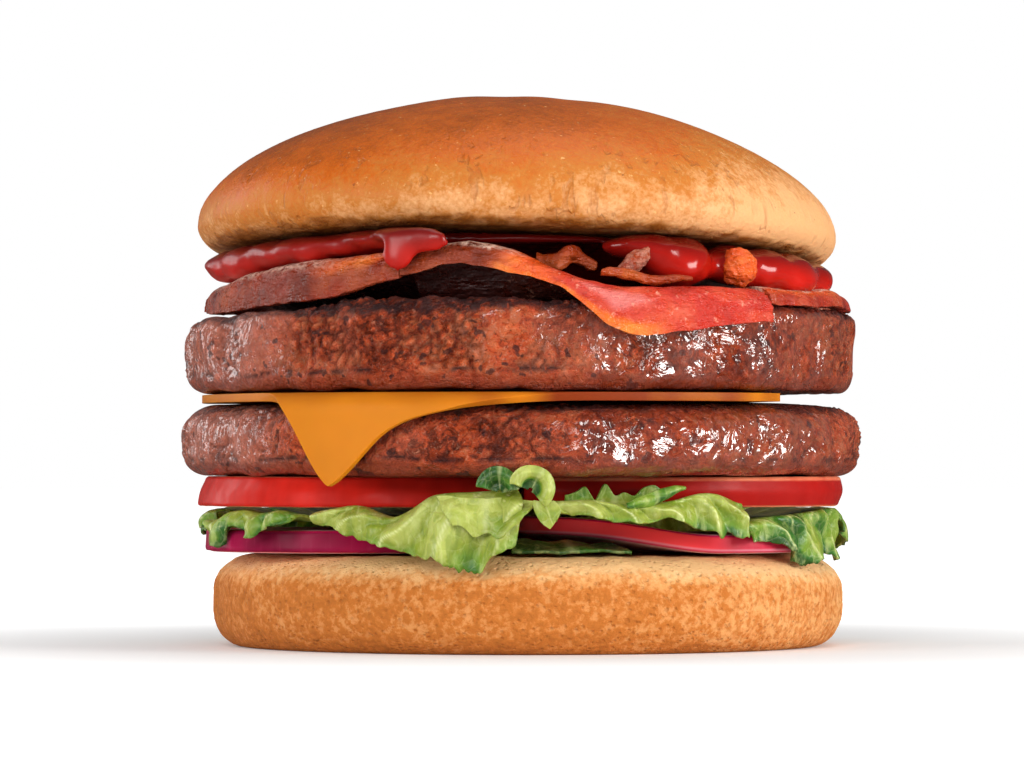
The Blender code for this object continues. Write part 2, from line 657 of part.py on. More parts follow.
def build():
    clear_scene()
    crust = material("bun_crust", (0.62, 0.27, 0.09), 0.45)
    crumb = material("bun_side", (0.66, 0.34, 0.14), 0.8)
    beef = material("beef", (0.26, 0.09, 0.05), 0.45)
    melted = material("cheese", (0.85, 0.42, 0.04), 0.35)
    flesh = material("tomato", (0.55, 0.04, 0.02), 0.3)
    skin = material("red_onion", (0.25, 0.02, 0.08), 0.3)
    green = material("lettuce", (0.36, 0.47, 0.12), 0.45)
    cured = material("bacon", (0.60, 0.16, 0.08), 0.4)
    sauce = material("ketchup", (0.42, 0.02, 0.01), 0.15)

    add_object("bun_heel", heel(), crumb)
    add_object("bun_crown", crown(), crust)
    add_object("patty_lower", lower_patty(), beef)
    add_object("patty_upper", upper_patty(), beef)
    thicken(add_object("cheese", cheese(), melted), CHEESE_THICK)
    for name in TOMATO_ANGLES:
        add_object(name, tomato(name), flesh)
    for name in ONIONS:
        add_object(name, onion(name), skin)
    for name in LEAVES:
        thicken(add_object(name, leaf(name), green), LEAF_THICK)
    for name, make in (
        ("lettuce_under", under_leaf), ("lettuce_curl", curl), ("lettuce_dark_curl", dark_curl),
        ("lettuce_small_tip", small_tip), ("lettuce_frill", upright_frill),
    ):
        thicken(add_object(name, make(), green), LEAF_THICK)
    for name in RASHERS:
        thicken(add_object(name, rasher(name, 18 if name == "bacon_front" else 12), cured), RASHER_THICK)
    thicken(add_object("bacon_strip", bacon_strip(), cured), 1.4)
    add_object("bacon_bit", chunk(21.0, 48.5, 60.3, (2.5, 1.3, 1.8), 20, 5.0), cured)
    add_object("bacon_lump", chunk(43.0, 49.5, 59.6, (2.9, 2.4, 3.0), 0, 9.0), cured)
    add_object("browned_curl", browned_curl(), cured)

    spread, parts = ketchup(sauce)
    apply_modifiers(spread)
    for piece in list(parts.objects):
        bpy.data.objects.remove(piece)
    bpy.data.collections.remove(parts)


build()
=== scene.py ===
"""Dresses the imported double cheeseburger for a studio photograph.

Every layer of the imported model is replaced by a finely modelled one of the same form: baked bun
halves, minced beef, a drooping slice of cheese, salad, bacon and ketchup. Shapes are worked out
in millimetres and turned into metres as each mesh is finished. +Z is up and -Y is the front.
"""

import math

import bmesh
import bpy
from bpy.props import FloatProperty, FloatVectorProperty, IntProperty, PointerProperty
from mathutils import Matrix, Vector, noise


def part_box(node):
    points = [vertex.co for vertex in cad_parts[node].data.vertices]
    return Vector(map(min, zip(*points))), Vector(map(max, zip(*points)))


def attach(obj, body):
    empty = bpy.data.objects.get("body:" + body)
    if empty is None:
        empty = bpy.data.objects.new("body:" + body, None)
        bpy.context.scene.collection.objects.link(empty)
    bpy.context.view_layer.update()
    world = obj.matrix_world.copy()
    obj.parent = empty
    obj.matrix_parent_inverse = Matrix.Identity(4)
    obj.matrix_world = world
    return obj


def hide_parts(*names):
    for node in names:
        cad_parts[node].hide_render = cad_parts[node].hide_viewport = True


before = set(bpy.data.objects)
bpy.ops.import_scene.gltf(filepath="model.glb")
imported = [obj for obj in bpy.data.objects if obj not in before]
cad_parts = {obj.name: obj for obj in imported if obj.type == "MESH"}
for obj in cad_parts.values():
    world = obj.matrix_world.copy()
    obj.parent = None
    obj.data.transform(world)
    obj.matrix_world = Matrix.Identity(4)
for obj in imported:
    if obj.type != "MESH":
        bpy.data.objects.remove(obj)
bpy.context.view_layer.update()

bl_info = {
    "name": "Double cheeseburger",
    "version": (1, 0, 0),
    "blender": (4, 5, 0),
    "location": "3D View > Sidebar > Burger",
    "description": "Builds a double cheeseburger, layer by layer, and its studio",
    "category": "Object",
}

MM = 0.001
BODY = "root"
NOISE_SEED = 7

# Vector noise starts from the clock unless it is seeded, and every run has to give the same burger.
noise.seed_set(NOISE_SEED)


def level(node, side):
    """The lowest (0) or highest (1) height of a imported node, in millimetres."""
    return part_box(node)[side][2] / MM


# Heights of the stack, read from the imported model.
HEEL_TOP = level("bun_heel", 1)
TOMATO_LOW, TOMATO_HIGH = level("tomato_left", 0), level("tomato_left", 1)
LOWER_PATTY_LOW, LOWER_PATTY_HIGH = level("patty_lower", 0), level("patty_lower", 1)
UPPER_PATTY_LOW = level("patty_upper", 0)
CHEESE_HIGH = level("cheese", 1)
UPPER_PATTY_THICK, UPPER_PATTY_RIDGE = 12.1, 1.3
UPPER_PATTY_HIGH = UPPER_PATTY_LOW + UPPER_PATTY_THICK
CROWN_SEAT, CROWN_SHIFT = 62.0, -0.6
TOUCH = 0.3
SETTLE = 0.22

PATTY_SLOPE = (0.013, -0.030)
CROWN_SLOPE = (-0.0263, -0.082)


def screen(red, green, blue):
    """A colour read off a screen, 0 to 255, as the linear colour that Blender's sockets take."""
    return tuple(
        part / 255 / 12.92 if part <= 10.3 else ((part / 255 + 0.055) / 1.055) ** 2.4
        for part in (red, green, blue)
    )


def length(label, about, millimetres):
    return FloatProperty(
        name=label, description=about, default=millimetres * MM, min=0.0, unit="LENGTH", precision=4
    )


def paint(label, about, red, green, blue):
    return FloatVectorProperty(
        name=label, description=about, subtype="COLOR", size=3, min=0.0, max=1.0,
        default=screen(red, green, blue),
    )


class BurgerSizes(bpy.types.PropertyGroup):
    """The sizes that a cook would choose."""

    crown_radius: length("Crown radius", "Widest radius of the top half of the bun", 51.4)
    crown_height: length("Crown height", "From its cut face to its top", 25.7)
    heel_radius: length("Heel radius", "Widest radius of the bottom half of the bun", 50.6)
    lower_patty_radius: length("Lower patty radius", "Radius before its crags", 54.3)
    upper_patty_radius: length("Upper patty radius", "Radius before its crags", 53.6)
    crag_depth: length("Crag depth", "How far the mince stands out at a patty's side", 0.55)
    cheese_thickness: length("Cheese thickness", "Thickness of the slice", 1.3)
    leaf_thickness: length("Leaf thickness", "Thickness of a lettuce leaf", 0.42)
    rasher_thickness: length("Rasher thickness", "Thickness of a slice of bacon", 1.7)
    bun_steps: IntProperty(name="Bun steps", description="Faces round the bun", default=400, min=40)
    patty_steps: IntProperty(
        name="Patty steps", description="Faces round a patty", default=860, min=40
    )


class BurgerColours(bpy.types.PropertyGroup):
    """The colours of the food, each the main one of its material."""

    crust: paint("Crust", "Baked top of the bun", 196, 93, 12)
    crust_pale: paint("Pale crust", "Low side of the crown, which browns least", 228, 168, 112)
    crumb: paint("Heel side", "Browned side of the heel", 198, 115, 46)
    beef: paint("Beef", "Cooked mince", 212, 82, 38)
    beef_fat: paint("Beef fat", "Paler grains in the mince", 212, 120, 86)
    cheese: paint("Cheese", "Slice of cheese", 213, 127, 18)
    tomato: paint("Tomato", "Skin of the tomato", 190, 32, 22)
    tomato_flesh: paint("Tomato flesh", "Cut faces of the tomato", 224, 88, 60)
    onion: paint("Onion skin", "Skin of the red onion", 142, 10, 58)
    onion_flesh: paint("Onion flesh", "Cut faces of the red onion", 226, 180, 190)
    lettuce: paint("Lettuce", "Pale part of a leaf", 138, 152, 44)
    lettuce_dark: paint("Dark lettuce", "Outer part of a leaf", 44, 104, 28)
    bacon: paint("Bacon lean", "Red lean of a rasher", 198, 42, 24)
    bacon_fat: paint("Bacon fat", "Browned fat at a rasher's rim", 232, 96, 26)
    ketchup: paint("Ketchup", "Ketchup", 184, 24, 14)


class BurgerStudio(bpy.types.PropertyGroup):
    """Where the camera stands and how bright the studio is."""

    distance: length("Camera distance", "From the middle of the burger to the camera", 900.0)
    eye_height: length("Camera height", "Height of the camera over the floor", 30.6)
    side_step: length("Camera side step", "How far the camera stands left of the middle", 1.45)
    focal_pixels: FloatProperty(
        name="Focal length in pixels", description="Of the 1024 pixels wide picture", default=5580.0
    )
    horizon_row: FloatProperty(
        name="Horizon row", description="Pixel row level with the camera, from the top", default=455.0
    )
    key_power: FloatProperty(
        name="Key light", description="Power of the large light at the right", default=2.9,
        unit="POWER",
    )


def sizes():
    return bpy.context.scene.burger_sizes


def colours():
    return bpy.context.scene.burger_colours


# Shapes shared by several layers.


def smooth_step(value):
    value = min(1.0, max(0.0, value))
    return value * value * (3 - 2 * value)


def along(values, share):
    """The value at this share of the way through evenly spaced values, on a smooth curve."""
    last = len(values) - 1
    place = min(max(share, 0.0), 1.0) * last
    i = min(int(place), last - 1)
    before, here, there, after = (values[min(max(i + k, 0), last)] for k in (-1, 0, 1, 2))
    t = place - i
    slope_here, slope_there = (there - before) / 2, (after - here) / 2
    return (
        (2 * t**3 - 3 * t**2 + 1) * here
        + (t**3 - 2 * t**2 + t) * slope_here
        + (3 * t**2 - 2 * t**3) * there
        + (t**3 - t**2) * slope_there
    )


def at_angle(degrees, radius, height):
    """A point by its angle from the front, positive to the right, as seen from above."""
    turn = math.radians(degrees)
    return Vector((radius * math.sin(turn), -radius * math.cos(turn), height))


def patty_top(x, y):
    return UPPER_PATTY_HIGH + PATTY_SLOPE[0] * x + PATTY_SLOPE[1] * y


def patty_ridge(x, y):
    """The top of the upper patty with the crumbled ridge behind its rim, under the front bacon."""
    angle = math.degrees(math.atan2(x, -y))
    wide = smooth_step((angle + 46) / 16) * smooth_step((8 - angle) / 16)
    near = smooth_step((math.hypot(x, y) - 40) / 6) * smooth_step((52.5 - math.hypot(x, y)) / 3)
    rough = 0.8 + 0.4 * noise.noise(Vector((x / 2.5, y / 2.5, 5)))
    return patty_top(x, y) + UPPER_PATTY_RIDGE * wide * near * rough


def crown_seat(x, y):
    return CROWN_SEAT + CROWN_SLOPE[0] * x + CROWN_SLOPE[1] * y


def quarter(middle, reach, rise, turns, power=1.0, steps=24):
    """Points on a quarter ellipse about a middle (radius, height), between two turns in degrees."""
    points = []
    for k in range(steps + 1):
        turn = math.radians(turns[0] + (turns[1] - turns[0]) * k / steps)
        out, up = math.cos(turn), math.sin(turn)
        out = math.copysign(max(abs(out), 1e-9) ** power, out)
        up = math.copysign(abs(up) ** power, up)
        points.append((middle[0] + reach * out, middle[1] + rise * up))
    return points


def slab_outline(radius, low, high, low_corner, high_corner, power=1.0):
    """Half the outline of a round slab, from the middle of its underside to the middle of its top."""
    low_middle = (radius - low_corner[0], low + low_corner[1])
    high_middle = (radius - high_corner[0], high - high_corner[1])
    outline = [(0.0, low)]
    outline += quarter(low_middle, low_corner[0], low_corner[1], (-90, 0))
    outline += quarter(high_middle, high_corner[0], high_corner[1], (0, 90), power)
    return outline + [(0.0, high)]


def respaced(outline, fine, coarse, fine_from):
    """The same outline with its points a fine step apart beyond a radius and a coarse step within."""
    points = [outline[0]]
    for (r0, z0), (r1, z1) in zip(outline, outline[1:]):
        run = math.hypot(r1 - r0, z1 - z0)
        if run < 1e-6:
            continue
        pieces = max(1, math.ceil(run / 0.05))
        for k in range(1, pieces + 1):
            point = (r0 + (r1 - r0) * k / pieces, z0 + (z1 - z0) * k / pieces)
            step = fine if point[0] > fine_from else coarse
            if math.hypot(point[0] - points[-1][0], point[1] - points[-1][1]) >= step:
                points.append(point)
    points[-1] = outline[-1]
    return points


def turned(profile, steps):
    """Turns half an outline round the vertical axis."""
    last = len(profile) - 1

    def place(u, v):
        radius, height = profile[round(v * last)]
        turn = 2 * math.pi * u
        return Vector((radius * math.cos(turn), radius * math.sin(turn), height))

    bm = laid_grid(bmesh.new(), steps, last, place)
    bmesh.ops.remove_doubles(bm, verts=bm.verts, dist=0.0005)
    return bm


def laid_grid(bm, columns, rows, place, painted=None):
    """Adds a sheet of cells, each corner put where place(u, v) says and painted by its u and v."""
    before = set(bm.verts)
    layers = {}
    if painted:
        layers = {name: tone(bm, name) for name in painted(0.0, 0.0, place(0.0, 0.0))}
    bmesh.ops.create_grid(bm, x_segments=columns, y_segments=rows, size=0.5)
    for v in bm.verts:
        if v in before:
            continue
        share = (v.co.x + 0.5, v.co.y + 0.5)
        v.co = place(*share)
        if painted:
            for name, value in painted(*share, v.co).items():
                v[layers[name]] = value
    return bm


def tone(bm, name):
    """The layer that holds one painted value for each vertex."""
    return bm.verts.layers.float.get(name) or bm.verts.layers.float.new(name)


def ridge(value, width):
    """1 where a noise value crosses zero, falling to 0 at this width: a thin crease."""
    return smooth_step(1 - abs(value) / width)


def finish(name, bm, material, slot, *nodes):
    """Makes the piece, puts it on the burger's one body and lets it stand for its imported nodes."""
    bmesh.ops.recalc_face_normals(bm, faces=bm.faces)
    mesh = bpy.data.meshes.new(name)
    bm.to_mesh(mesh)
    bm.free()
    mesh.transform(Matrix.Scale(MM, 4))
    mesh.materials.append(material)
    mesh.shade_smooth()
    piece = bpy.data.objects.new(name, mesh)
    bpy.context.scene.collection.objects.link(piece)
    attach(piece, BODY)
    if nodes:
        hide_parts(*nodes)
    return piece


def thicken(piece, millimetres):
    solid = piece.modifiers.new("thickness", "SOLIDIFY")
    solid.thickness = millimetres * MM
    solid.offset = 0.0
    solid.use_even_offset = False
    solid.use_quality_normals = True


# Materials.


def plug(tree, socket, value):
    """Links a socket to another node's output, or gives it a plain value."""
    if isinstance(value, bpy.types.NodeSocket):
        tree.links.new(value, socket)
    else:
        socket.default_value = value


def put(tree, kind, values=None, **settings):
    """Adds a shader node, with its settings, and sets or links its inputs by name or number."""
    made = tree.nodes.new(kind)
    for key, value in settings.items():
        setattr(made, key, value)
    for key, value in (values or {}).items():
        plug(tree, made.inputs[key], value)
    return made


def painted_value(tree, name):
    return put(tree, "ShaderNodeAttribute", attribute_name=name).outputs["Fac"]


def object_place(tree, stretch=(1, 1, 1)):
    place = put(tree, "ShaderNodeTexCoord").outputs["Object"]
    return put(tree, "ShaderNodeMapping", {"Vector": place, "Scale": stretch}).outputs["Vector"]


def grain(tree, place, scale, detail=3.0, roughness=0.5, distortion=0.0):
    return put(
        tree, "ShaderNodeTexNoise",
        {"Vector": place, "Scale": scale, "Detail": detail, "Roughness": roughness,
         "Distortion": distortion},
    ).outputs["Fac"]


def between(tree, value, low, high, to_low=0.0, to_high=1.0):
    return put(
        tree, "ShaderNodeMapRange",
        {"Value": value, "From Min": low, "From Max": high, "To Min": to_low, "To Max": to_high},
        interpolation_type="SMOOTHSTEP",
    ).outputs["Result"]


def reckon(tree, operation, one, other=0.0, clamp=False):
    made = put(tree, "ShaderNodeMath", {0: one, 1: other}, operation=operation, use_clamp=clamp)
    return made.outputs[0]


def plus(tree, one, other, clamp=False):
    return reckon(tree, "ADD", one, other, clamp)


def times(tree, one, other):
    return reckon(tree, "MULTIPLY", one, other)


def blended(tree, share, low, high, blend="MIX"):
    low, high = (
        (*side, 1.0) if not isinstance(side, bpy.types.NodeSocket) else side for side in (low, high)
    )
    made = put(
        tree, "ShaderNodeMix", {0: share, 6: low, 7: high}, data_type="RGBA", blend_type=blend
    )
    return made.outputs[2]


def ramp(tree, value, *stops):
    """A colour for each value, from stops of (place, colour)."""
    made = put(tree, "ShaderNodeValToRGB", {"Fac": value})
    elements = made.color_ramp.elements
    elements[0].position, elements[0].color = stops[0][0], (*stops[0][1], 1.0)
    elements[1].position, elements[1].color = stops[-1][0], (*stops[-1][1], 1.0)
    for place, colour in stops[1:-1]:
        elements.new(place).color = (*colour, 1.0)
    return made.outputs["Color"]


def shade(colour, factor):
    return tuple(part * factor for part in colour)


def group(name, inputs, outputs, fill):
    """A shader node group, built once: fill(tree, inputs) gives the value of each output."""
    known = bpy.data.node_groups.get(name)
    if known:
        return known
    tree = bpy.data.node_groups.new(name, "ShaderNodeTree")
    for label, kind, default in inputs:
        socket = tree.interface.new_socket(label, in_out="INPUT", socket_type=kind)
        if default is not None:
            socket.default_value = default
    for label, kind in outputs:
        tree.interface.new_socket(label, in_out="OUTPUT", socket_type=kind)
    start = tree.nodes.new("NodeGroupInput")
    end = tree.nodes.new("NodeGroupOutput")
    for label, value in fill(tree, start.outputs).items():
        tree.links.new(value, end.inputs[label])
    return tree


def speckle_group():
    """Scattered specks: a mask that is 1 on the specks."""

    def fill(tree, given):
        fleck = grain(tree, given["Place"], given["Scale"], 2.0, 0.55)
        return {"Mask": between(tree, fleck, given["From"], given["To"])}

    return group(
        "Specks",
        (("Place", "NodeSocketVector", None), ("Scale", "NodeSocketFloat", 500.0),
         ("From", "NodeSocketFloat", 0.6), ("To", "NodeSocketFloat", 0.7)),
        (("Mask", "NodeSocketFloat"),), fill,
    )


def wet_group():
    """Moist patches: a roughness that runs between a wet and a dry value."""

    def fill(tree, given):
        patch = grain(tree, given["Place"], given["Scale"], 3.0, 0.6)
        return {"Roughness": between(tree, patch, 0.38, 0.62, given["Wet"], given["Dry"])}

    return group(
        "Moist patches",
        (("Place", "NodeSocketVector", None), ("Scale", "NodeSocketFloat", 200.0),
         ("Wet", "NodeSocketFloat", 0.2), ("Dry", "NodeSocketFloat", 0.5)),
        (("Roughness", "NodeSocketFloat"),), fill,
    )


def specks(tree, place, scale, start, stop):
    return put(
        tree, "ShaderNodeGroup", {"Place": place, "Scale": scale, "From": start, "To": stop},
        node_tree=speckle_group(),
    ).outputs["Mask"]


def moist(tree, place, scale, wet, dry):
    return put(
        tree, "ShaderNodeGroup", {"Place": place, "Scale": scale, "Wet": wet, "Dry": dry},
        node_tree=wet_group(),
    ).outputs["Roughness"]


def material(name, dress, **fixed):
    """A Principled material. dress(tree) gives its colour, roughness and bump: height, strength, depth.

    It may go on with a wet, glossy film from the meat: where the film lies and the height of its waves.
    """
    made = bpy.data.materials.new(name)
    made.use_nodes = True
    tree = made.node_tree
    shader = tree.nodes["Principled BSDF"]
    colour, rough, height, strength, depth, *film = dress(tree)
    tree.links.new(colour, shader.inputs["Base Color"])
    plug(tree, shader.inputs["Roughness"], rough)
    bump = put(tree, "ShaderNodeBump", {"Height": height, "Strength": strength, "Distance": depth * MM})
    tree.links.new(bump.outputs["Normal"], shader.inputs["Normal"])
    for key, value in fixed.items():
        shader.inputs[key.replace("_", " ")].default_value = value
    if film:
        cover, waves = film
        tree.links.new(cover, shader.inputs["Coat Weight"])
        wavy = put(tree, "ShaderNodeBump", {"Height": waves, "Strength": 0.9, "Distance": MM})
        tree.links.new(wavy.outputs["Normal"], shader.inputs["Coat Normal"])
    return made


def crust_material():
    """Baked crust: pale at the low side, browner and smoother towards the top, with fine wrinkles; painted
    light makes it paler to the right and low on the left and darker at the top left, and painted shade
    darkens the wrinkles' creases.
    """
    paints = colours()

    def dress(tree):
        place = object_place(tree)
        cloud = grain(tree, place, 38, 4, 0.55)
        mottle = grain(tree, place, 330, 4, 0.6)
        sand = grain(tree, place, 1500, 3, 0.6)
        # The painted browning value also holds painted light: lower, so paler, to the right and low on the
        # left, and higher, so darker, at the top left.
        bake_and_painted_light = plus(tree, painted_value(tree, "bake_and_painted_light"), between(tree, cloud, 0.3, 0.7, -0.1, 0.1))
        bake_and_painted_light = plus(tree, bake_and_painted_light, between(tree, mottle, 0.3, 0.7, -0.1, 0.1))
        bake_and_painted_light = plus(tree, bake_and_painted_light, between(tree, sand, 0.3, 0.7, -0.08, 0.08), True)
        pale, dark = tuple(paints.crust_pale), tuple(paints.crust)
        colour = ramp(
            tree, bake_and_painted_light, (0.0, pale), (0.3, screen(194, 117, 42)), (0.62, dark), (1.0, shade(dark, 0.6))
        )
        flecks = specks(tree, place, 1100, 0.68, 0.76)
        colour = blended(tree, times(tree, flecks, 0.6), colour, screen(240, 184, 116))
        pits = specks(tree, place, 760, 0.73, 0.78)
        colour = blended(tree, times(tree, pits, 0.6), colour, screen(112, 50, 18))
        low = painted_value(tree, "low")
        upright = object_place(tree, (1.0, 1.0, 0.16))
        groove = grain(tree, upright, 560, 2, 0.5, 0.35)
        sparse = between(tree, grain(tree, place, 150, 2), 0.46, 0.6)
        groove = times(tree, between(tree, groove, 0.56, 0.66), sparse)
        groove = times(tree, groove, low)
        # Painted shade: the colour darkens along the creases of the wrinkles.
        colour = blended(tree, times(tree, groove, 0.3), colour, screen(160, 90, 40))
        rim = painted_value(tree, "rim")
        crumbs = between(tree, mottle, 0.35, 0.62, 0.5, 1.0)
        colour = blended(tree, times(tree, rim, crumbs), colour, screen(146, 82, 22))
        rough = between(tree, bake_and_painted_light, 0.1, 0.8, 0.6, 0.36)
        height = plus(tree, sand, times(tree, mottle, 1.4))
        height = reckon(tree, "SUBTRACT", height, times(tree, groove, 1.7))
        height = plus(tree, height, times(tree, times(tree, rim, mottle), 5.0))
        return colour, rough, height, 0.55, 0.3

    return material("crust", dress, Coat_Weight=0.05, Coat_Roughness=0.3, Specular_IOR_Level=0.25,
                    Subsurface_Weight=0.06, Subsurface_Scale=0.002)


def crumb_material():
    """The heel's browned, pitted side, lighter along its upper edge; painted light makes it paler to the
    right, and painted shade darkens its pits.
    """
    paints = colours()

    def dress(tree):
        place = object_place(tree)
        cloud = grain(tree, place, 50, 5, 0.6)
        blotch = grain(tree, place, 210, 3, 0.5)
        sand = grain(tree, place, 820, 5, 0.65)
        # The painted browning value also holds painted light: lower, so paler, on the heel's right side.
        bake_and_painted_light = plus(tree, painted_value(tree, "bake_and_painted_light"), between(tree, cloud, 0.3, 0.7, -0.07, 0.07))
        bake_and_painted_light = plus(tree, bake_and_painted_light, between(tree, blotch, 0.3, 0.7, -0.05, 0.05))
        bake_and_painted_light = plus(tree, bake_and_painted_light, between(tree, sand, 0.36, 0.64, -0.15, 0.15), True)
        mid = tuple(paints.crumb)
        colour = ramp(
            tree, bake_and_painted_light, (0.0, screen(242, 192, 134)), (0.3, screen(228, 160, 96)), (0.6, mid),
            (1.0, shade(mid, 0.68)),
        )
        cells = put(
            tree, "ShaderNodeTexVoronoi", {"Vector": place, "Scale": 950.0, "Randomness": 1.0}
        ).outputs["Distance"]
        dents = between(tree, cells, 0.06, 0.36, 1.0, 0.0)
        # Painted shade: the colour darkens in the pores and dents, which the surface also sinks into.
        pits = reckon(tree, "MAXIMUM", painted_value(tree, "pit"), times(tree, dents, 0.6))
        colour = blended(tree, times(tree, pits, between(tree, bake_and_painted_light, 0.15, 0.45, 0.06, 0.34)), colour,
                         screen(172, 94, 38))
        height = reckon(tree, "SUBTRACT", times(tree, sand, 2.0), dents)
        return colour, 0.85, height, 0.7, 0.45

    return material("crumb", dress, Subsurface_Weight=0.06, Subsurface_Scale=0.002,
                    Specular_IOR_Level=0.2)


def beef_material():
    """Cooked mince: brown lumps, paler fat, charred specks and wet patches, with painted shade in its cracks
    and on low grains, painted highlights on raised grains and a painted rosy sheen at the left ends.
    """
    paints = colours()

    def dress(tree):
        place = object_place(tree)
        lean, fat = tuple(paints.beef), tuple(paints.beef_fat)
        cloud = grain(tree, place, 75, 4, 0.6, 0.4)
        fibre = grain(tree, place, 560, 5, 0.7, 0.9)
        dots = grain(tree, place, 1500, 3, 0.65)
        mix = plus(tree, times(tree, cloud, 0.4), times(tree, fibre, 0.6))
        colour = ramp(
            tree, mix, (0.4, shade(lean, 0.24)), (0.46, shade(lean, 0.68)), (0.5, lean),
            (0.56, screen(216, 108, 62)), (0.63, fat),
        )
        # Painted highlight on the raised grains and painted shade on the low ones; the same noise raises the
        # grains in the bump.
        colour = blended(tree, between(tree, dots, 0.56, 0.7, 0.0, 0.55), colour, screen(232, 158, 124))
        colour = blended(tree, between(tree, dots, 0.44, 0.3, 0.0, 0.6), colour, screen(76, 24, 12))
        # Painted sheen: the patties' left ends are painted pale and rosy, where a light from the left falls,
        # plus a random blush.
        pink_and_painted_sheen = painted_value(tree, "pink_and_painted_sheen")
        colour = blended(tree, times(tree, pink_and_painted_sheen, 0.5), colour, screen(230, 136, 108))
        # Painted shade: the cracks and the gaps between strands are painted almost black.
        painted_hollow_shade = painted_value(tree, "painted_hollow_shade")
        colour = blended(tree, times(tree, painted_hollow_shade, 0.85), colour, screen(66, 18, 9))
        under = painted_value(tree, "under")
        colour = blended(tree, times(tree, under, 0.7), colour, screen(156, 58, 26))
        char = times(tree, painted_value(tree, "sear"), between(tree, fibre, 0.38, 0.5))
        flecks = specks(tree, place, 380, 0.63, 0.67)
        char = reckon(tree, "MAXIMUM", char, times(tree, flecks, 0.8))
        colour = blended(tree, times(tree, char, 0.9), colour, screen(44, 28, 32))
        wet = painted_value(tree, "wet")
        colour = blended(tree, times(tree, wet, 0.42), colour, screen(122, 34, 12))
        rough = moist(tree, place, 300, 0.3, 0.6)
        dry = reckon(tree, "SUBTRACT", 1.25, wet, True)
        height = plus(tree, times(tree, fibre, 2.0), times(tree, dots, dry))
        patches = grain(tree, place, 170, 6, 0.7, 0.8)
        waves = grain(tree, place, 230, 3, 0.5, 1.6)
        cover = times(tree, wet, between(tree, patches, 0.41, 0.47))
        return colour, rough, height, 1.0, 1.1, cover, waves

    return material("cooked_beef", dress, Coat_Roughness=0.06, Coat_IOR=2.1, Subsurface_Weight=0.03,
                    Subsurface_Scale=0.0015, Specular_IOR_Level=0.32)


def cheese_material():
    paints = colours()

    def dress(tree):
        place = object_place(tree)
        main = tuple(paints.cheese)
        cloud = grain(tree, place, 60, 3)
        colour = ramp(tree, cloud, (0.3, shade(main, 0.86)), (0.7, shade(main, 1.04)))
        # Painted shade: darker along the edge under the upper patty and near the top of the drape.
        colour = blended(tree, painted_value(tree, "juice"), colour, screen(132, 50, 12))
        height = grain(tree, place, 300, 3)
        return colour, 0.48, height, 0.12, 0.3

    return material("cheese", dress, Subsurface_Weight=0.25, Subsurface_Scale=0.002,
                    Subsurface_Radius=(1.0, 0.5, 0.15), Specular_IOR_Level=0.12)


def tomato_material():
    """Taut skin round the rim, wet flesh with a paler core on the cut faces."""
    paints = colours()

    def dress(tree):
        place = object_place(tree)
        skin, flesh = tuple(paints.tomato), tuple(paints.tomato_flesh)
        streak = grain(tree, object_place(tree, (1, 1, 0.25)), 260, 3)
        cloud = grain(tree, place, 170, 4, 0.6)
        skin_colour = ramp(tree, streak, (0.3, shade(skin, 0.85)), (0.7, shade(skin, 1.2)))
        flesh_colour = ramp(tree, cloud, (0.3, shade(flesh, 0.8)), (0.7, screen(240, 150, 110)))
        # Painted shade: the right slice's skin is painted a darker red.
        skin_colour = blended(tree, painted_value(tree, "tomato_painted_shade"), skin_colour, screen(140, 14, 14))
        colour = blended(tree, painted_value(tree, "skin"), flesh_colour, skin_colour)
        rough = moist(tree, place, 300, 0.32, 0.5)
        return colour, rough, cloud, 0.15, 0.3

    return material("tomato", dress, Specular_IOR_Level=0.1, Subsurface_Weight=0.15,
                    Subsurface_Scale=0.003, Subsurface_Radius=(1.0, 0.2, 0.1))


def onion_material():
    """Purple skin with upright streaks; pale rings on the cut faces."""
    paints = colours()

    def dress(tree):
        place = object_place(tree)
        skin, flesh = tuple(paints.onion), tuple(paints.onion_flesh)
        streak = grain(tree, object_place(tree, (1, 1, 0.08)), 900, 3, 0.6)
        broad = grain(tree, object_place(tree, (1, 1, 0.3)), 90, 3)
        skin_colour = ramp(tree, broad, (0.3, shade(skin, 0.5)), (0.5, skin), (0.72, shade(skin, 1.4)))
        skin_colour = blended(
            tree, between(tree, streak, 0.5, 0.75, 0.0, 0.2), skin_colour, screen(196, 64, 104)
        )
        ring = painted_value(tree, "ring")
        wave = put(
            tree, "ShaderNodeMath", {0: times(tree, ring, 40.0)}, operation="SINE"
        ).outputs[0]
        lines = between(tree, wave, 0.6, 0.98)
        flesh_colour = blended(tree, lines, flesh, shade(skin, 2.2))
        # The right slice's skin is redder, partly its colour and partly painted light that brightens its
        # shaded left part.
        skin_colour = blended(tree, painted_value(tree, "red_tint_and_painted_light"), skin_colour, screen(255, 66, 70))
        colour = blended(tree, painted_value(tree, "skin"), flesh_colour, skin_colour)
        rough = moist(tree, place, 240, 0.34, 0.5)
        return colour, rough, streak, 0.12, 0.3

    return material("red_onion", dress, Specular_IOR_Level=0.15, Subsurface_Weight=0.2,
                    Subsurface_Scale=0.002, Subsurface_Radius=(0.9, 0.4, 0.5))


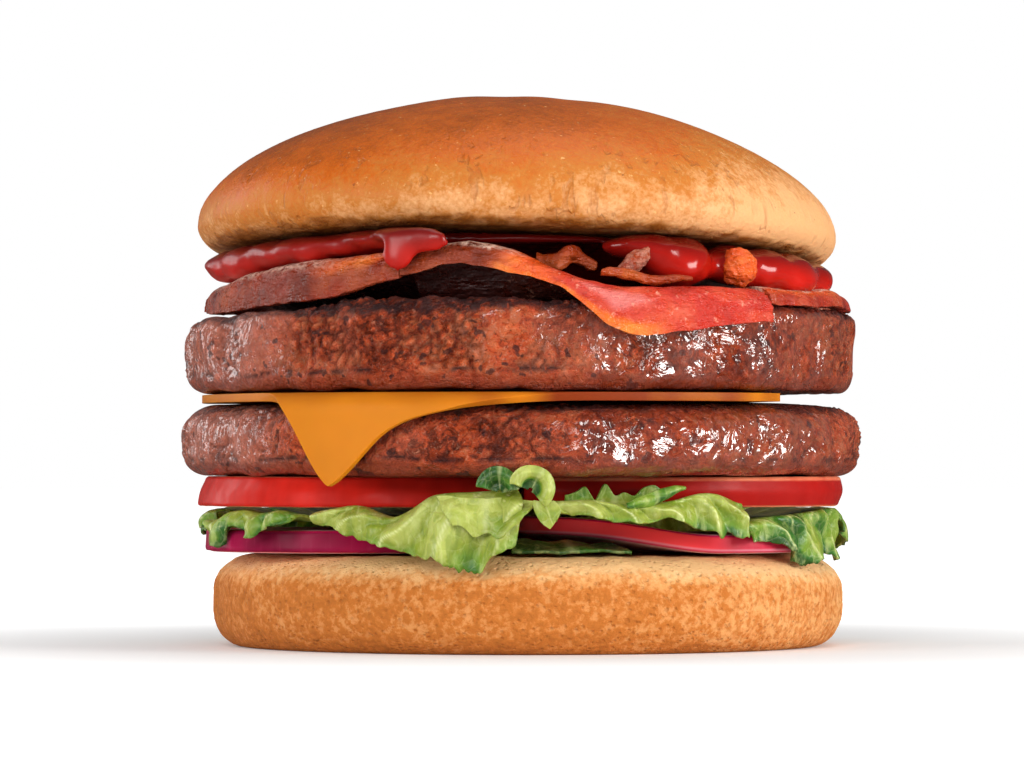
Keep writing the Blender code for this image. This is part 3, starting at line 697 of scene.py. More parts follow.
def leaf_material(name, pale, dark):
    """A leaf: pale ribs, a light green blade that darkens in places, crinkled between fine veins."""

    def dress(tree):
        place = object_place(tree)
        cloud = grain(tree, place, 110, 4, 0.6)
        fine = grain(tree, place, 700, 3, 0.6)
        depth = plus(tree, painted_value(tree, "green"), between(tree, cloud, 0.3, 0.7, -0.2, 0.2), True)
        colour = ramp(
            tree, depth, (0.0, screen(176, 186, 88)), (0.3, pale), (0.6, screen(112, 148, 42)),
            (0.82, dark), (1.0, shade(dark, 0.55)),
        )
        rib = painted_value(tree, "rib")
        colour = blended(tree, times(tree, rib, 0.75), colour, screen(222, 226, 158))
        bent = put(
            tree, "ShaderNodeVectorMath",
            {0: place, 1: put(tree, "ShaderNodeVectorMath", {
                0: put(tree, "ShaderNodeTexNoise", {"Vector": place, "Scale": 260.0}).outputs["Color"],
                1: (0.004, 0.004, 0.004)}, operation="MULTIPLY").outputs[0]},
            operation="ADD",
        ).outputs[0]
        veins = put(
            tree, "ShaderNodeTexVoronoi", {"Vector": bent, "Scale": 420.0}, feature="DISTANCE_TO_EDGE"
        ).outputs["Distance"]
        net = between(tree, veins, 0.0, 0.07, 1.0, 0.0)
        colour = blended(tree, times(tree, net, 0.12), colour, screen(212, 220, 150))
        fibres = grain(tree, object_place(tree, (1.0, 1.0, 0.3)), 480, 4, 0.65, 0.6)
        colour = blended(tree, between(tree, fibres, 0.5, 0.68, 0.0, 0.4), colour, screen(206, 216, 136))
        colour = blended(tree, between(tree, fibres, 0.5, 0.34, 0.0, 0.35), colour, screen(84, 116, 30))
        height = plus(tree, fine, between(tree, veins, 0.0, 0.2, 0.0, 0.3))
        height = plus(tree, height, times(tree, fibres, 1.5))
        return colour, 0.4, height, 0.4, 0.5

    return material(name, dress, Subsurface_Weight=0.12, Subsurface_Scale=0.0012,
                    Subsurface_Radius=(0.6, 1.0, 0.2), Coat_Weight=0.05, Coat_Roughness=0.25)


def bacon_material():
    """Pink lean, browned lean, an orange rim of fat and pale crumbly fat, each where it is painted."""
    paints = colours()

    def dress(tree):
        place = object_place(tree)
        lean, fat = tuple(paints.bacon), tuple(paints.bacon_fat)
        cloud = grain(tree, place, 120, 4, 0.6, 0.5)
        fibre = grain(tree, place, 900, 4, 0.65)
        streak = grain(tree, object_place(tree, (1.0, 1.0, 3.0)), 260, 3, 0.6)
        colour = ramp(tree, cloud, (0.32, shade(lean, 0.6)), (0.5, lean), (0.68, screen(214, 78, 44)))
        colour = blended(tree, between(tree, streak, 0.52, 0.72, 0.0, 0.2), colour, screen(240, 130, 104))
        # Painted sheen: the pale patch on the flap is partly paler lean and partly painted sheen.
        colour = blended(tree, painted_value(tree, "pale"), colour, screen(226, 120, 112))
        brown = painted_value(tree, "brown")
        toasted = ramp(
            tree, cloud, (0.32, screen(92, 26, 10)), (0.5, screen(136, 48, 20)), (0.68, screen(164, 72, 34))
        )
        colour = blended(tree, brown, colour, toasted)
        rim_colour = ramp(tree, cloud, (0.32, screen(196, 56, 14)), (0.5, fat), (0.68, screen(242, 130, 44)))
        colour = blended(tree, painted_value(tree, "rim"), colour, rim_colour)
        crumbs = times(tree, painted_value(tree, "crumb"), between(tree, fibre, 0.38, 0.56))
        colour = blended(tree, crumbs, colour, screen(232, 190, 168))
        dark = painted_value(tree, "shadow")
        colour = blended(tree, dark, colour, screen(52, 12, 8))
        # Painted highlights: small near-white glints on the lean, left off the browned parts.
        shine = between(tree, fibre, 0.6, 0.7, 0.0, 0.4)
        colour = blended(tree, times(tree, shine, reckon(tree, "SUBTRACT", 1.0, brown, True)), colour,
                         screen(255, 190, 160))
        rough = moist(tree, place, 520, 0.2, 0.52)
        height = plus(tree, times(tree, streak, 2.0), times(tree, fibre, plus(tree, crumbs, 0.9)))
        return colour, rough, height, 0.8, 0.8

    return material("cured_bacon", dress, Specular_IOR_Level=0.45, Subsurface_Weight=0.06,
                    Subsurface_Scale=0.002, Subsurface_Radius=(1.0, 0.35, 0.25))


def ketchup_material():
    paints = colours()

    def dress(tree):
        place = object_place(tree)
        main = tuple(paints.ketchup)
        cloud = grain(tree, place, 120, 3)
        colour = ramp(tree, cloud, (0.3, shade(main, 0.75)), (0.7, shade(main, 1.15)))
        # Painted shade: the ketchup darkens towards the crown's underside and over a band just right of the
        # middle, where the crown shades it.
        fall = (-CROWN_SLOPE[0], -CROWN_SLOPE[1], 1.0)
        height = put(
            tree, "ShaderNodeVectorMath", {0: place, 1: fall}, operation="DOT_PRODUCT"
        ).outputs["Value"]
        deep = between(tree, height, (CROWN_SEAT - 5.5) * MM, (CROWN_SEAT - 1.0) * MM)
        side = put(tree, "ShaderNodeSeparateXYZ", {0: place}).outputs["X"]
        inner = reckon(
            tree, "MINIMUM", between(tree, side, 0.0, 0.006), between(tree, side, 0.016, 0.027, 0.8, 0.0)
        )
        deep = reckon(tree, "MAXIMUM", deep, inner)
        colour = blended(tree, times(tree, deep, 0.9), colour, screen(78, 6, 6))
        rough = between(tree, side, -0.02, 0.0, 0.34, 0.16)
        return colour, rough, grain(tree, place, 260, 2), 0.12, 0.3

    return material("ketchup", dress, Specular_IOR_Level=0.4, Subsurface_Weight=0.1,
                    Subsurface_Scale=0.002, Subsurface_Radius=(1.0, 0.15, 0.1))


# The bun.


def make_heel():
    """The lower half of the bun: a soft slab with a flat base and a broad top shoulder."""
    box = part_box("bun_heel")
    middle_x = (box[0][0] + box[1][0]) / 2 / MM
    radius = sizes().heel_radius / MM
    outline = slab_outline(radius, 0.0, HEEL_TOP, (4.6, 6.5), (8.0, 5.5))
    bm = turned(respaced(outline, 0.6, 5.0, radius - 10), sizes().bun_steps)
    bake_and_painted_light, pit = tone(bm, "bake_and_painted_light"), tone(bm, "pit")
    for v in bm.verts:
        turn = math.atan2(v.co.y, v.co.x)
        outward = Vector((math.cos(turn), math.sin(turn), 0))
        out = smooth_step(math.hypot(v.co.x, v.co.y) / radius)
        side = smooth_step(v.co.z / 2.0)
        lump = noise.noise(Vector((2.2 * math.cos(turn), 2.2 * math.sin(turn), v.co.z / 9)))
        dimple = noise.noise(v.co / 3.2)
        crumb = noise.noise(v.co / 0.9)
        pore = 0.7 * smooth_step((0.26 - noise.voronoi(v.co / 2.1)[0][0]) / 0.14)
        pore *= smooth_step(noise.noise(v.co / 5 + Vector((9, 0, 0))) * 3)
        high = v.co.z / HEEL_TOP
        swell = 0.5 * lump + 0.22 * dimple + 0.12 * crumb - 0.4 * pore
        v.co += outward * swell * side * out
        top = smooth_step((high - 0.8) / 0.2)
        v.co.z += (0.35 * dimple + 0.15 * crumb) * top * (1 if side == 1 else 0) * 0.6 - 0.12 * top
        v[bake_and_painted_light] = 0.62 - 0.75 * smooth_step((high - 0.62) / 0.38) + 0.1 * smooth_step((0.3 - high) / 0.3)
        # Painted light: the right side is painted paler.
        v[bake_and_painted_light] -= 0.25 * max(0.0, outward.x)
        # The pores also darken the colour as painted shade.
        v[pit] = pore
    bmesh.ops.translate(bm, verts=bm.verts, vec=(middle_x, 0, 0))
    finish("heel_of_bun", bm, crumb_material(), "bun", "bun_heel")


def make_crown():
    """The upper half of the bun: a domed top that leans back and to the right."""
    radius, height = sizes().crown_radius / MM, sizes().crown_height / MM
    rounding, lean_dome = (5.5, 4.1), 1.08
    outline = slab_outline(radius, 0.0, height, rounding, (radius, height - rounding[1]), lean_dome)
    bm = turned(respaced(outline, 0.62, 1.1, radius - 9), sizes().bun_steps)
    bake_and_painted_light, low, rim = tone(bm, "bake_and_painted_light"), tone(bm, "low"), tone(bm, "rim")
    sag = 0.7
    for v in bm.verts:
        turn = math.atan2(v.co.y, v.co.x)
        round_x, round_y = math.cos(turn), math.sin(turn)
        outward = Vector((round_x, round_y, 0))
        out = smooth_step(math.hypot(v.co.x, v.co.y) / radius)
        high = v.co.z / height
        lump = noise.noise(Vector((1.7 * round_x, 1.7 * round_y, 2.0 * high)))
        low_side = smooth_step((high - 0.1) / 0.12) * smooth_step((0.62 - high) / 0.4)
        upright = Vector((round_x * 24, round_y * 24, v.co.z / 9))
        pucker = noise.noise(upright)
        line = ridge(noise.noise(upright * 0.8 + Vector((4, 4, 4))), 0.09)
        line *= smooth_step(2.4 * noise.noise(Vector((round_x * 6, round_y * 6, v.co.z / 6))))
        skin = noise.noise(v.co / 1.3)
        swell = sag * lump * out + (0.2 * pucker - 0.2 * line) * low_side + 0.05 * skin
        v.co += outward * swell * smooth_step(out * 2)
        v.co.z += sag * lump * smooth_step(high) * smooth_step(3 * out)
        cloud = noise.noise(v.co / 14)
        v[bake_and_painted_light] = 0.3 + 0.46 * smooth_step((high - 0.06) / 0.58) + 0.12 * cloud
        # Painted light and shade: paler to the right and low on the left, darker at the top left.
        right = round_x * smooth_step(2.5 * out)
        v[bake_and_painted_light] -= 0.46 * max(0.0, right) + 0.3 * min(0.0, right) * (smooth_step(high / 0.5) - 0.5)
        v[low] = smooth_step((0.66 - high) / 0.25)
        v[rim] = smooth_step((1.5 + 0.7 * noise.noise(v.co / 2) - v.co.z) / 0.9)
    lean = Matrix.Rotation(math.atan(CROWN_SLOPE[1]), 3, "X")
    roll = Matrix.Rotation(-math.atan(CROWN_SLOPE[0]), 3, "Y")
    bmesh.ops.rotate(bm, verts=bm.verts, cent=(0, 0, 0), matrix=lean @ roll)
    bmesh.ops.translate(bm, verts=bm.verts, vec=(CROWN_SHIFT, 0, CROWN_SEAT))
    finish("crown_of_bun", bm, crust_material(), "bun", "bun_crown")


# The beef.


def crag(turn, z, seed):
    """How far the craggy side of a patty stands out, in millimetres: broad lumps, then small ones."""
    broad = Vector((4.2 * math.cos(turn), 4.2 * math.sin(turn), z / 16 + seed))
    small = Vector((10 * math.cos(turn), 10 * math.sin(turn), z / 5 + seed))
    return 1.3 * noise.noise(broad) + 0.7 * noise.noise(small)


def mince(point, share, wetness, seed):
    """Relief of the mince in millimetres, calmer where it is wet, and how deep in a crack it is."""
    offset = Vector((seed, seed, seed))
    bent = point + 1.2 * noise.noise_vector(point / 3.0 + offset)
    near, next_near = noise.voronoi(Vector((bent.x / 1.9, bent.y / 1.9, bent.z / 1.6)))[0][:2]
    strand = smooth_step((next_near - near) / 0.45)
    lump = noise.noise(Vector((point.x / 6.5, point.y / 6.5, point.z / 8.5)) + offset)
    crack = ridge(noise.noise(bent / 8.0 + offset), 0.05) * smooth_step(3 * noise.noise(point / 11))
    fine = noise.noise(bent / 0.9) + 0.5 * noise.noise(bent / 0.45)
    crumbly = smooth_step(0.7 + 1.5 * noise.noise(point / 9 - offset)) * smooth_step((share - 0.16) / 0.1)
    crumbly *= 1 - 0.65 * wetness
    relief = 0.7 * lump + crumbly * (0.58 * strand - 0.58 + 0.36 * fine) - 0.4 * crack
    return relief, min(1.0, 0.8 * crumbly * (1 - strand) + 0.7 * crack)


def make_patty(name, node, beef, radius, low, high, low_corner, high_corner, seed, top=None):
    box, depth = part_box(node), sizes().crag_depth / MM
    outline = slab_outline(radius, low, high, low_corner, high_corner)
    bm = turned(respaced(outline, 0.36, 4.0, radius - 7), sizes().patty_steps)
    tones = ("painted_hollow_shade", "sear", "pink_and_painted_sheen", "under", "wet")
    painted_hollow_shade, sear, pink_and_painted_sheen, under, wet = (tone(bm, name) for name in tones)
    middle = (low + high) / 2
    most_out, face_dip = 0.7, 0.5
    lip, lip_width = 0.22, 0.06
    for v in bm.verts:
        turn = math.atan2(v.co.y, v.co.x)
        outward = Vector((math.cos(turn), math.sin(turn), 0))
        reach = math.hypot(v.co.x, v.co.y)
        share = (v.co.z - low) / (high - low)
        side = smooth_step((reach - 0.8 * radius) / (0.14 * radius))
        out = min(most_out, crag(turn, v.co.z, seed)) * side
        dip = face_dip * abs(noise.noise(v.co / 7 + Vector((seed, 0, 0)))) * (1 - side)
        film = noise.noise(v.co / 6 + Vector((seed, 0, 3)))
        wetness = smooth_step((outward.x - 0.02) / 0.35 + 1.1 * film)
        wetness *= 1 - 0.7 * smooth_step((outward.x - 0.86) / 0.1)
        wetness = max(wetness, 0.6 * smooth_step((-outward.x - 0.66) / 0.14 + 0.5 * film))
        relief, crack = mince(v.co, share, wetness, seed)
        flat = 2 * share - 1
        tilt = Vector((outward.x, outward.y, 0)) * (1 - abs(flat) ** 3) * side
        tilt.z = math.copysign(abs(flat) ** 2, flat) * 0.8 * side
        burn = noise.noise(v.co / 3.2 + Vector((seed, 7, 0)))
        edge_line = lip + 0.07 * noise.noise(Vector((outward.x * 7, outward.y * 7, seed)))
        on_lip = smooth_step(1 - abs(share - edge_line) / lip_width)
        # Crack depth, used as painted shade in the colour.
        v[painted_hollow_shade] = crack
        v[sear] = max(on_lip * smooth_step(0.5 + 2.2 * burn), smooth_step((share - 0.86) / 0.1 + burn))
        # Painted sheen at the left end, where a light from the left falls, plus a random blush.
        blush = 0.35 * smooth_step(1.6 * noise.noise(v.co / 8))
        v[pink_and_painted_sheen] = 1.3 * smooth_step((-outward.x - 0.6) / 0.24) + blush
        v[under] = smooth_step((edge_line - share) / 0.08)
        v[wet] = wetness
        inner = 1 - smooth_step((reach - 0.8 * radius) / (0.1 * radius))
        v.co += outward * out
        v.co.z += (dip * (1 - inner) - SETTLE * inner) * (1 if v.co.z < middle else -1)
        v.co += tilt * (min(0.3, relief - 0.2) * depth * 1.6 - 0.4 * on_lip * smooth_step(2.2 * burn))
        if top:
            v.co.z += share * (top(v.co.x, v.co.y) - high)
        for axis in (0, 1):
            v.co[axis] = min(max(v.co[axis], box[0][axis] / MM), box[1][axis] / MM)
    finish(name, bm, beef, "beef", node)


def make_patties():
    beef = beef_material()
    make_patty(
        "lower_patty", "patty_lower", beef, sizes().lower_patty_radius / MM, LOWER_PATTY_LOW,
        LOWER_PATTY_HIGH, (3.6, 3.4), (6.0, 5.0), 3.0,
    )
    make_patty(
        "upper_patty", "patty_upper", beef, sizes().upper_patty_radius / MM, UPPER_PATTY_LOW,
        UPPER_PATTY_HIGH, (2.6, 3.2), (2.8, 2.6), 11.0, patty_ridge,
    )


# The cheese.

CHEESE_TIP_ANGLE, CHEESE_LEFT_ANGLE, CHEESE_RIGHT_ANGLE = -31.3, -99.0, 50.7
CHEESE_LEFT_REACH = (51.6, 51.4, 51.2, 51.4, 51.8, 53.4, 56.8, 69.0)
CHEESE_FRONT_REACH = (69.0, 60.4, 57.2, 55.6, 54.4, 53.8, 53.6, 53.6, 52.0)
CHEESE_BACK = Vector((25.0, 32.0))
CHEESE_REST_RADIUS, CHEESE_BEND = 54.0, 2.2


def flat_point(degrees, reach):
    return at_angle(degrees, reach, 0).xy


def cheese_edge(left_columns, front_columns, back_columns):
    """Points round the edge of the flat slice, closer together near the tip."""
    edge = []
    for k in range(left_columns):
        u = 1 - (1 - k / left_columns) ** 1.7
        angle = CHEESE_LEFT_ANGLE + (CHEESE_TIP_ANGLE - CHEESE_LEFT_ANGLE) * u
        edge.append(flat_point(angle, along(CHEESE_LEFT_REACH, u)))
    for k in range(front_columns):
        u = (k / front_columns) ** 1.4
        angle = CHEESE_TIP_ANGLE + (CHEESE_RIGHT_ANGLE - CHEESE_TIP_ANGLE) * u
        edge.append(flat_point(angle, along(CHEESE_FRONT_REACH, u)))
    right = flat_point(CHEESE_RIGHT_ANGLE, CHEESE_FRONT_REACH[-1])
    edge += [right.lerp(CHEESE_BACK, k / back_columns) for k in range(back_columns)]
    edge += [CHEESE_BACK.lerp(edge[0], k / back_columns) for k in range(back_columns + 1)]
    return edge


def make_cheese():
    thick = sizes().cheese_thickness / MM
    edge = cheese_edge(60, 90, 24)
    lying_rows, rows, spread = 6, 30, 1.4
    knee_share = lying_rows / rows
    middle = CHEESE_HIGH - thick / 2

    def place(u, v):
        rim = edge[round(u * (len(edge) - 1))]
        knee = min(0.93 * rim.length, CHEESE_REST_RADIUS)
        if v <= knee_share:
            along_ray = knee * v / knee_share
        else:
            share = (v - knee_share) / (1 - knee_share)
            along_ray = knee + (rim.length - knee) * share**spread
        outward = rim.normalized()
        over = max(0.0, along_ray - CHEESE_REST_RADIUS)
        turn = min(over / CHEESE_BEND, math.pi / 2)
        hang = over - turn * CHEESE_BEND
        reach = min(along_ray, CHEESE_REST_RADIUS) + CHEESE_BEND * math.sin(turn) + 0.04 * hang
        drop = CHEESE_BEND * (1 - math.cos(turn)) + hang
        ripple = 0.25 * math.sin(rim.angle_signed(Vector((0, 1))) * 9) * smooth_step(over / 6)
        return Vector((outward.x * (reach + ripple), outward.y * (reach + ripple), middle - drop))

    # Painted shade: where the upper patty shades the slice's front edge, and near the top of its drape.
    def painted(u, v, point):
        angle = math.degrees(math.atan2(point.x, -point.y))
        shaded = smooth_step((angle + 14) / 16) * smooth_step((45 - angle) / 5)
        shaded = max(shaded, 0.35 * smooth_step(1 - (middle - point.z) / 2.5))
        return {"juice": shaded * smooth_step(1 - (middle - point.z) / 6) * (0.75 + noise.noise(point / 6))}

    bm = laid_grid(bmesh.new(), len(edge) - 1, rows, place, painted)
    bmesh.ops.remove_doubles(bm, verts=bm.verts, dist=0.01)
    piece = finish("cheese_slice", bm, cheese_material(), "cheese", "cheese")
    thicken(piece, thick)
    soften = piece.modifiers.new("soft_edge", "BEVEL")
    soften.width = 0.35 * MM
    soften.segments = 3
    soften.limit_method = "ANGLE"


# Tomato and onion.

TOMATO_RADIUS, TOMATO_REACH = 32.7, 20.6
TOMATO_ANGLES = {"tomato_left": -65.0, "tomato_right": 65.0, "tomato_back": 180.0}
TOMATO_FLARES = {
    "tomato_left": (0.0, 0.4, 1.4), "tomato_right": (0.8, 0.0, 0.4), "tomato_back": (0.6, 0.0, 0.8),
}
TOMATO_SEAM_ANGLES = (0.0, 122.5, -122.5)


def cut_trim(bm, point, outward):
    """Cuts off what lies beyond a plane and closes the cut."""
    geometry = bm.verts[:] + bm.edges[:] + bm.faces[:]
    cut = bmesh.ops.bisect_plane(
        bm, geom=geometry, plane_co=point, plane_no=outward, clear_outer=True
    )
    rim = [e for e in cut["geom_cut"] if isinstance(e, bmesh.types.BMEdge)]
    bmesh.ops.holes_fill(bm, edges=rim, sides=0)


def make_tomato(node, tomato):
    """One slice, wider at one face than the other, cut where it meets the next slice."""
    angle = TOMATO_ANGLES[node]
    insets = TOMATO_FLARES[node]
    low, high = TOMATO_LOW - SETTLE, TOMATO_HIGH + SETTLE
    thick, middle = high - low, (low + high) / 2
    outline = [(0.0, low)]
    for k in range(31):
        share = k / 30
        corner = 0.35 * (max(0.0, abs(2 * share - 1) - 0.86) / 0.14) ** 2
        outline.append((TOMATO_RADIUS - along(insets, share) - corner, low + thick * share))
    outline.append((0.0, high))
    bm = turned(respaced(outline, 0.28, 3.0, TOMATO_RADIUS - 4), steps=280)
    skin, tomato_painted_shade = tone(bm, "skin"), tone(bm, "tomato_painted_shade")
    for v in bm.verts:
        turn = math.atan2(v.co.y, v.co.x)
        out = math.hypot(v.co.x, v.co.y) / TOMATO_RADIUS
        face = abs(v.co.z - middle) > thick / 2 - 0.12
        v[skin] = 0.0 if face else smooth_step((out - 0.9) / 0.03)
        if node == "tomato_right":
            v[skin] *= 1 - 0.8 * smooth_step((v.co.z - high + 0.75) / 0.25)
        # Painted shade: the right slice is darker, as if shaded by the patty above it.
        v[tomato_painted_shade] = 0.65 if node == "tomato_right" else 0.0
        v.co.xy *= 1 + 0.5 * out * math.cos(5 * turn + angle) / TOMATO_RADIUS
        if v.co.z < middle:
            v.co.z += 0.1 * abs(noise.noise(v.co / 4))
        v.co.xy *= 1 + 0.0015 * noise.noise(v.co / 2.5)
    bmesh.ops.translate(bm, verts=bm.verts, vec=at_angle(angle, TOMATO_REACH, 0))
    for seam in TOMATO_SEAM_ANGLES:
        outward = at_angle(seam, 1.0, 0)
        across = Vector((-outward.y, outward.x, 0))
        side = 1 if across.dot(at_angle(angle, 1.0, 0)) > 0 else -1
        if abs((angle - seam + 180) % 360 - 180) <= 100:
            cut_trim(bm, across * side * 0.4, -across * side)
    finish("slice_of_" + node, bm, tomato, "tomato", node)


ONIONS = {
    "onion_left": ((-25.4, -11.0), 24.8, 15.3, 3.6),
    "onion_right": ((22.4, -15.0), 23.0, 15.3, 2.9),
    "onion_back": ((1.0, 27.5), 22.0, 15.3, 3.4),
}
ONION_LIFT, ONION_LIFT_WAY = 2.8, Vector((-0.92, -0.39))


def make_onion(node, onion):
    place, radius, low, thick = ONIONS[node]
    bevel = 0.7
    outline = [(0.0, low), (radius - 1.4 * bevel, low)]
    outline += quarter((radius - bevel, low + bevel), bevel, bevel, (-60, 0))
    outline += quarter((radius - 0.6, low + thick - 0.4), 0.4, 0.4, (0, 90)) + [(0.0, low + thick)]
    bm = turned(respaced(outline, 0.3, 1.2, radius - 4), steps=220)
    skin, ring, red_tint_and_painted_light = tone(bm, "skin"), tone(bm, "ring"), tone(bm, "red_tint_and_painted_light")
    middle = low + thick / 2
    for v in bm.verts:
        turn = math.atan2(v.co.y, v.co.x)
        out = math.hypot(v.co.x, v.co.y) / radius
        face = abs(v.co.z - middle) > thick / 2 - 0.15
        peeled = smooth_step((low + 0.7 - v.co.z) / 0.2) if node == "onion_right" else 0.0
        v[skin] = 0.0 if face else smooth_step((out - 0.9) / 0.04) * (1 - 0.8 * peeled)
        v[ring] = out
        # Right slice only: redder skin, strongest on its shaded left part and fading to the right, partly
        # its colour and partly painted light.
        v[red_tint_and_painted_light] = 0.95 - 0.6 * smooth_step((v.co.x - 2) / 12) if node == "onion_right" else 0.0
        v.co.xy *= 1 + 0.012 * math.sin(3 * turn + radius) + 0.003 * noise.noise(v.co / 3)
        if face:
            groove = smooth_step((math.sin(40 * out) - 0.6) / 0.4)
            v.co.z += 0.15 * groove * (1 if v.co.z < middle else -1)
        if node == "onion_right":
            v.co.z += ONION_LIFT * smooth_step(v.co.xy.dot(ONION_LIFT_WAY) / radius)
    bmesh.ops.translate(bm, verts=bm.verts, vec=(*place, 0))
    finish("slice_of_" + node, bm, onion, "red_onion", node)


def make_salad_slices():
    tomato = tomato_material()
    for node in TOMATO_ANGLES:
        make_tomato(node, tomato)
    onion = onion_material()
    for node in ONIONS:
        make_onion(node, onion)


# Leaves and rashers: sheets that lie between two layers, come out over their rim and hang.

LEAVES = {
    "lettuce_left": {
        "angles": (-69, -42), "tuck": (38, 20.4), "wave": (0.7, 4.5), "green": (0.6, 0.35),
        "folds": 9.0, "slant": 0.10,
        "crest": (20.2, 21.4, 21.9, 21.4, 21.9, 21.2), "crest_reach": (50.2, 50.5),
        "hem": (19.8, 16.6, 19.6, 17.8, 19.4, 20.6), "hem_reach": (53.3, 53.2),
    },
    "lettuce_front": {
        "angles": (-38, -1), "tuck": (30, 20.5), "wave": (0.5, 3.0), "green": (0.05, 0.3),
        "flare": 0.1, "folds": 8.0, "slant": 0.35,
        "crest": (21.9, 22.6, 20.9, 24.2, 24.8, 25.2), "crest_reach": (49.0, 49.0),
        "hem": (20.3, 18.2, 16.6, 14.6, 12.9, 17.0), "hem_reach": (51.8, 53.0),
    },
    "lettuce_right": {
        "angles": (5, 41), "tuck": (43.5, 21.8), "wave": (0.4, 3.5), "green": (0.1, 0.35),
        "folds": 10.0, "slant": -0.20,
        "crest": (23.4, 23.5, 22.8, 23.4, 24.6, 23.0), "crest_reach": (50.2, 51.6),
        "hem": (22.0, 21.0, 20.4, 20.6, 18.6, 18.0), "hem_reach": (51.9, 53.2),
    },
    "lettuce_tip": {
        "angles": (43, 77), "tuck": (36, 20.4), "wave": (0.6, 3.0), "green": (0.58, 0.78),
        "folds": 7.0, "slant": -0.30,
        "crest": (19.8, 20.8, 21.2, 21.8, 22.0), "crest_reach": (49.0, 50.8),
        "hem": (17.4, 16.8, 13.6, 15.8, 13.9), "hem_reach": (51.5, 51.3),
    },
    "lettuce_far_right": {
        "angles": (80, 126), "tuck": (30, 20.4), "wave": (0.8, 4.0), "green": (0.6, 0.2),
        "folds": 9.0, "slant": 0.10,
        "crest": (21.6, 22.0, 21.8, 22.0), "crest_reach": (49.0, 49.0),
        "hem": (18.4, 16.2, 18.6, 17.4), "hem_reach": (52.0, 52.0),
    },
    "lettuce_back": {
        "angles": (128, 188), "tuck": (30, 20.4), "wave": (0.9, 5.5), "green": (0.1, 0.5),
        "folds": 12.0, "slant": 0.10,
        "crest": (21.9, 21.7, 22.0, 21.7, 22.0), "crest_reach": (49.0, 49.0),
        "hem": (18.6, 15.0, 17.0, 14.6, 17.6), "hem_reach": (52.0, 52.5),
    },
    "lettuce_back_left": {
        "angles": (190, 240), "tuck": (30, 20.4), "wave": (0.8, 4.5), "green": (0.4, 0.8),
        "folds": 10.0, "slant": -0.10,
        "crest": (22.0, 21.7, 22.0, 21.7), "crest_reach": (49.0, 49.0),
        "hem": (17.4, 16.0, 18.2, 16.8), "hem_reach": (52.3, 52.0),
    },
    "lettuce_far_left": {
        "angles": (242, 280), "tuck": (34, 20.4), "wave": (0.7, 3.5), "green": (0.3, 0.6),
        "folds": 8.0, "slant": 0.10,
        "crest": (21.8, 22.0, 21.7, 21.8), "crest_reach": (49.0, 48.4),
        "hem": (18.8, 17.0, 18.6, 19.4), "hem_reach": (52.0, 50.4),
    },
}
RASHERS = {
    "bacon_left": {
        "angles": (-88, -21.2), "tuck": (30, 54.4), "wave": (0.2, 3.0),
        "crest": (57.0, 57.2, 58.4, 59.6, 60.3, 61.1), "crest_reach": (46.5, 47.5),
        "hem": (53.3, 52.9, 53.3, 54.0, 54.9, 57.6), "hem_reach": (49.9, 51.2),
    },
    "bacon_front": {
        "angles": (-21.0, 43.5), "tuck": (40, 57.0), "wave": (0.25, 3.0),
        "crest": (60.7, 62.4, 61.4, 57.8, 55.6, 55.5, 55.6, 55.3),
        "crest_reach": (47.5, 47.5, 48.0, 49.5, 52.0, 52.5, 52.5, 52.0),
        "hem": (58.0, 59.8, 58.5, 56.0, 49.3, 49.5, 50.5, 51.2),
        "hem_reach": (51.0, 51.0, 51.5, 53.5, 56.4, 56.6, 56.6, 56.6),
    },
    "bacon_right": {
        "angles": (46, 98), "tuck": (24, 54.6), "wave": (0.3, 4.0),
        "crest": (55.9, 55.6, 56.1, 55.6, 55.4), "crest_reach": (49.0, 49.0),
        "hem": (54.0, 53.8, 54.0, 53.6, 53.4), "hem_reach": (53.0, 52.0),
    },
    "bacon_back": {
        "angles": (104, 168), "tuck": (20, 54.0), "wave": (0.4, 5.0),
        "crest": (54.6, 54.2, 54.8, 54.0), "crest_reach": (48.0, 48.0),
        "hem": (53.6, 53.0, 53.6, 52.9), "hem_reach": (53.0, 52.5),
    },
    "bacon_back_left": {
        "angles": (176, 262), "tuck": (20, 54.0), "wave": (0.4, 6.0),
        "crest": (54.2, 55.2, 54.6, 56.0, 57.0), "crest_reach": (48.0, 47.5),
        "hem": (52.8, 53.4, 53.0, 53.6, 53.8), "hem_reach": (52.5, 51.4),
    },
}


# Rashers that end before this angle from the front have their tucked part in deep shade.
SHADED_UNTIL = 99


def skirt_point(form, u, v, late, rest_height=None):
    """u runs left to right, v from the tucked edge over the crest to the hem. late delays the rise."""
    first, last = form["angles"]
    angle = first + (last - first) * u
    depth, count = form["wave"]
    tuck_reach, tuck_height = form["tuck"]
    crest_reach = along(form["crest_reach"], u)
    hem_reach = along(form["hem_reach"], u)
    inner = at_angle(angle, tuck_reach, 0)
    if rest_height:
        tuck_height = rest_height(inner.x, inner.y)
    lie, over = 0.45, 0.62
    if v < lie:
        share = v / lie
        reach = tuck_reach + (crest_reach - tuck_reach) * share
        height = tuck_height + (along(form["crest"], u) - tuck_height) * smooth_step(share) ** late
    else:
        share = (v - lie) / (1 - lie)
        reach = crest_reach + (hem_reach - crest_reach) * math.sin(math.pi / 2 * share**over)
        fall = share**1.5
        height = along(form["crest"], u) * (1 - fall) + along(form["hem"], u) * fall
    ruffle = depth * smooth_step(v) * math.sin(2 * math.pi * count * u + 2.0 * v)
    return at_angle(angle, reach + ruffle, height)


def rasher_rest(x, y):
    return patty_top(x, y) + TOUCH + sizes().rasher_thickness / MM / 2 + 0.2


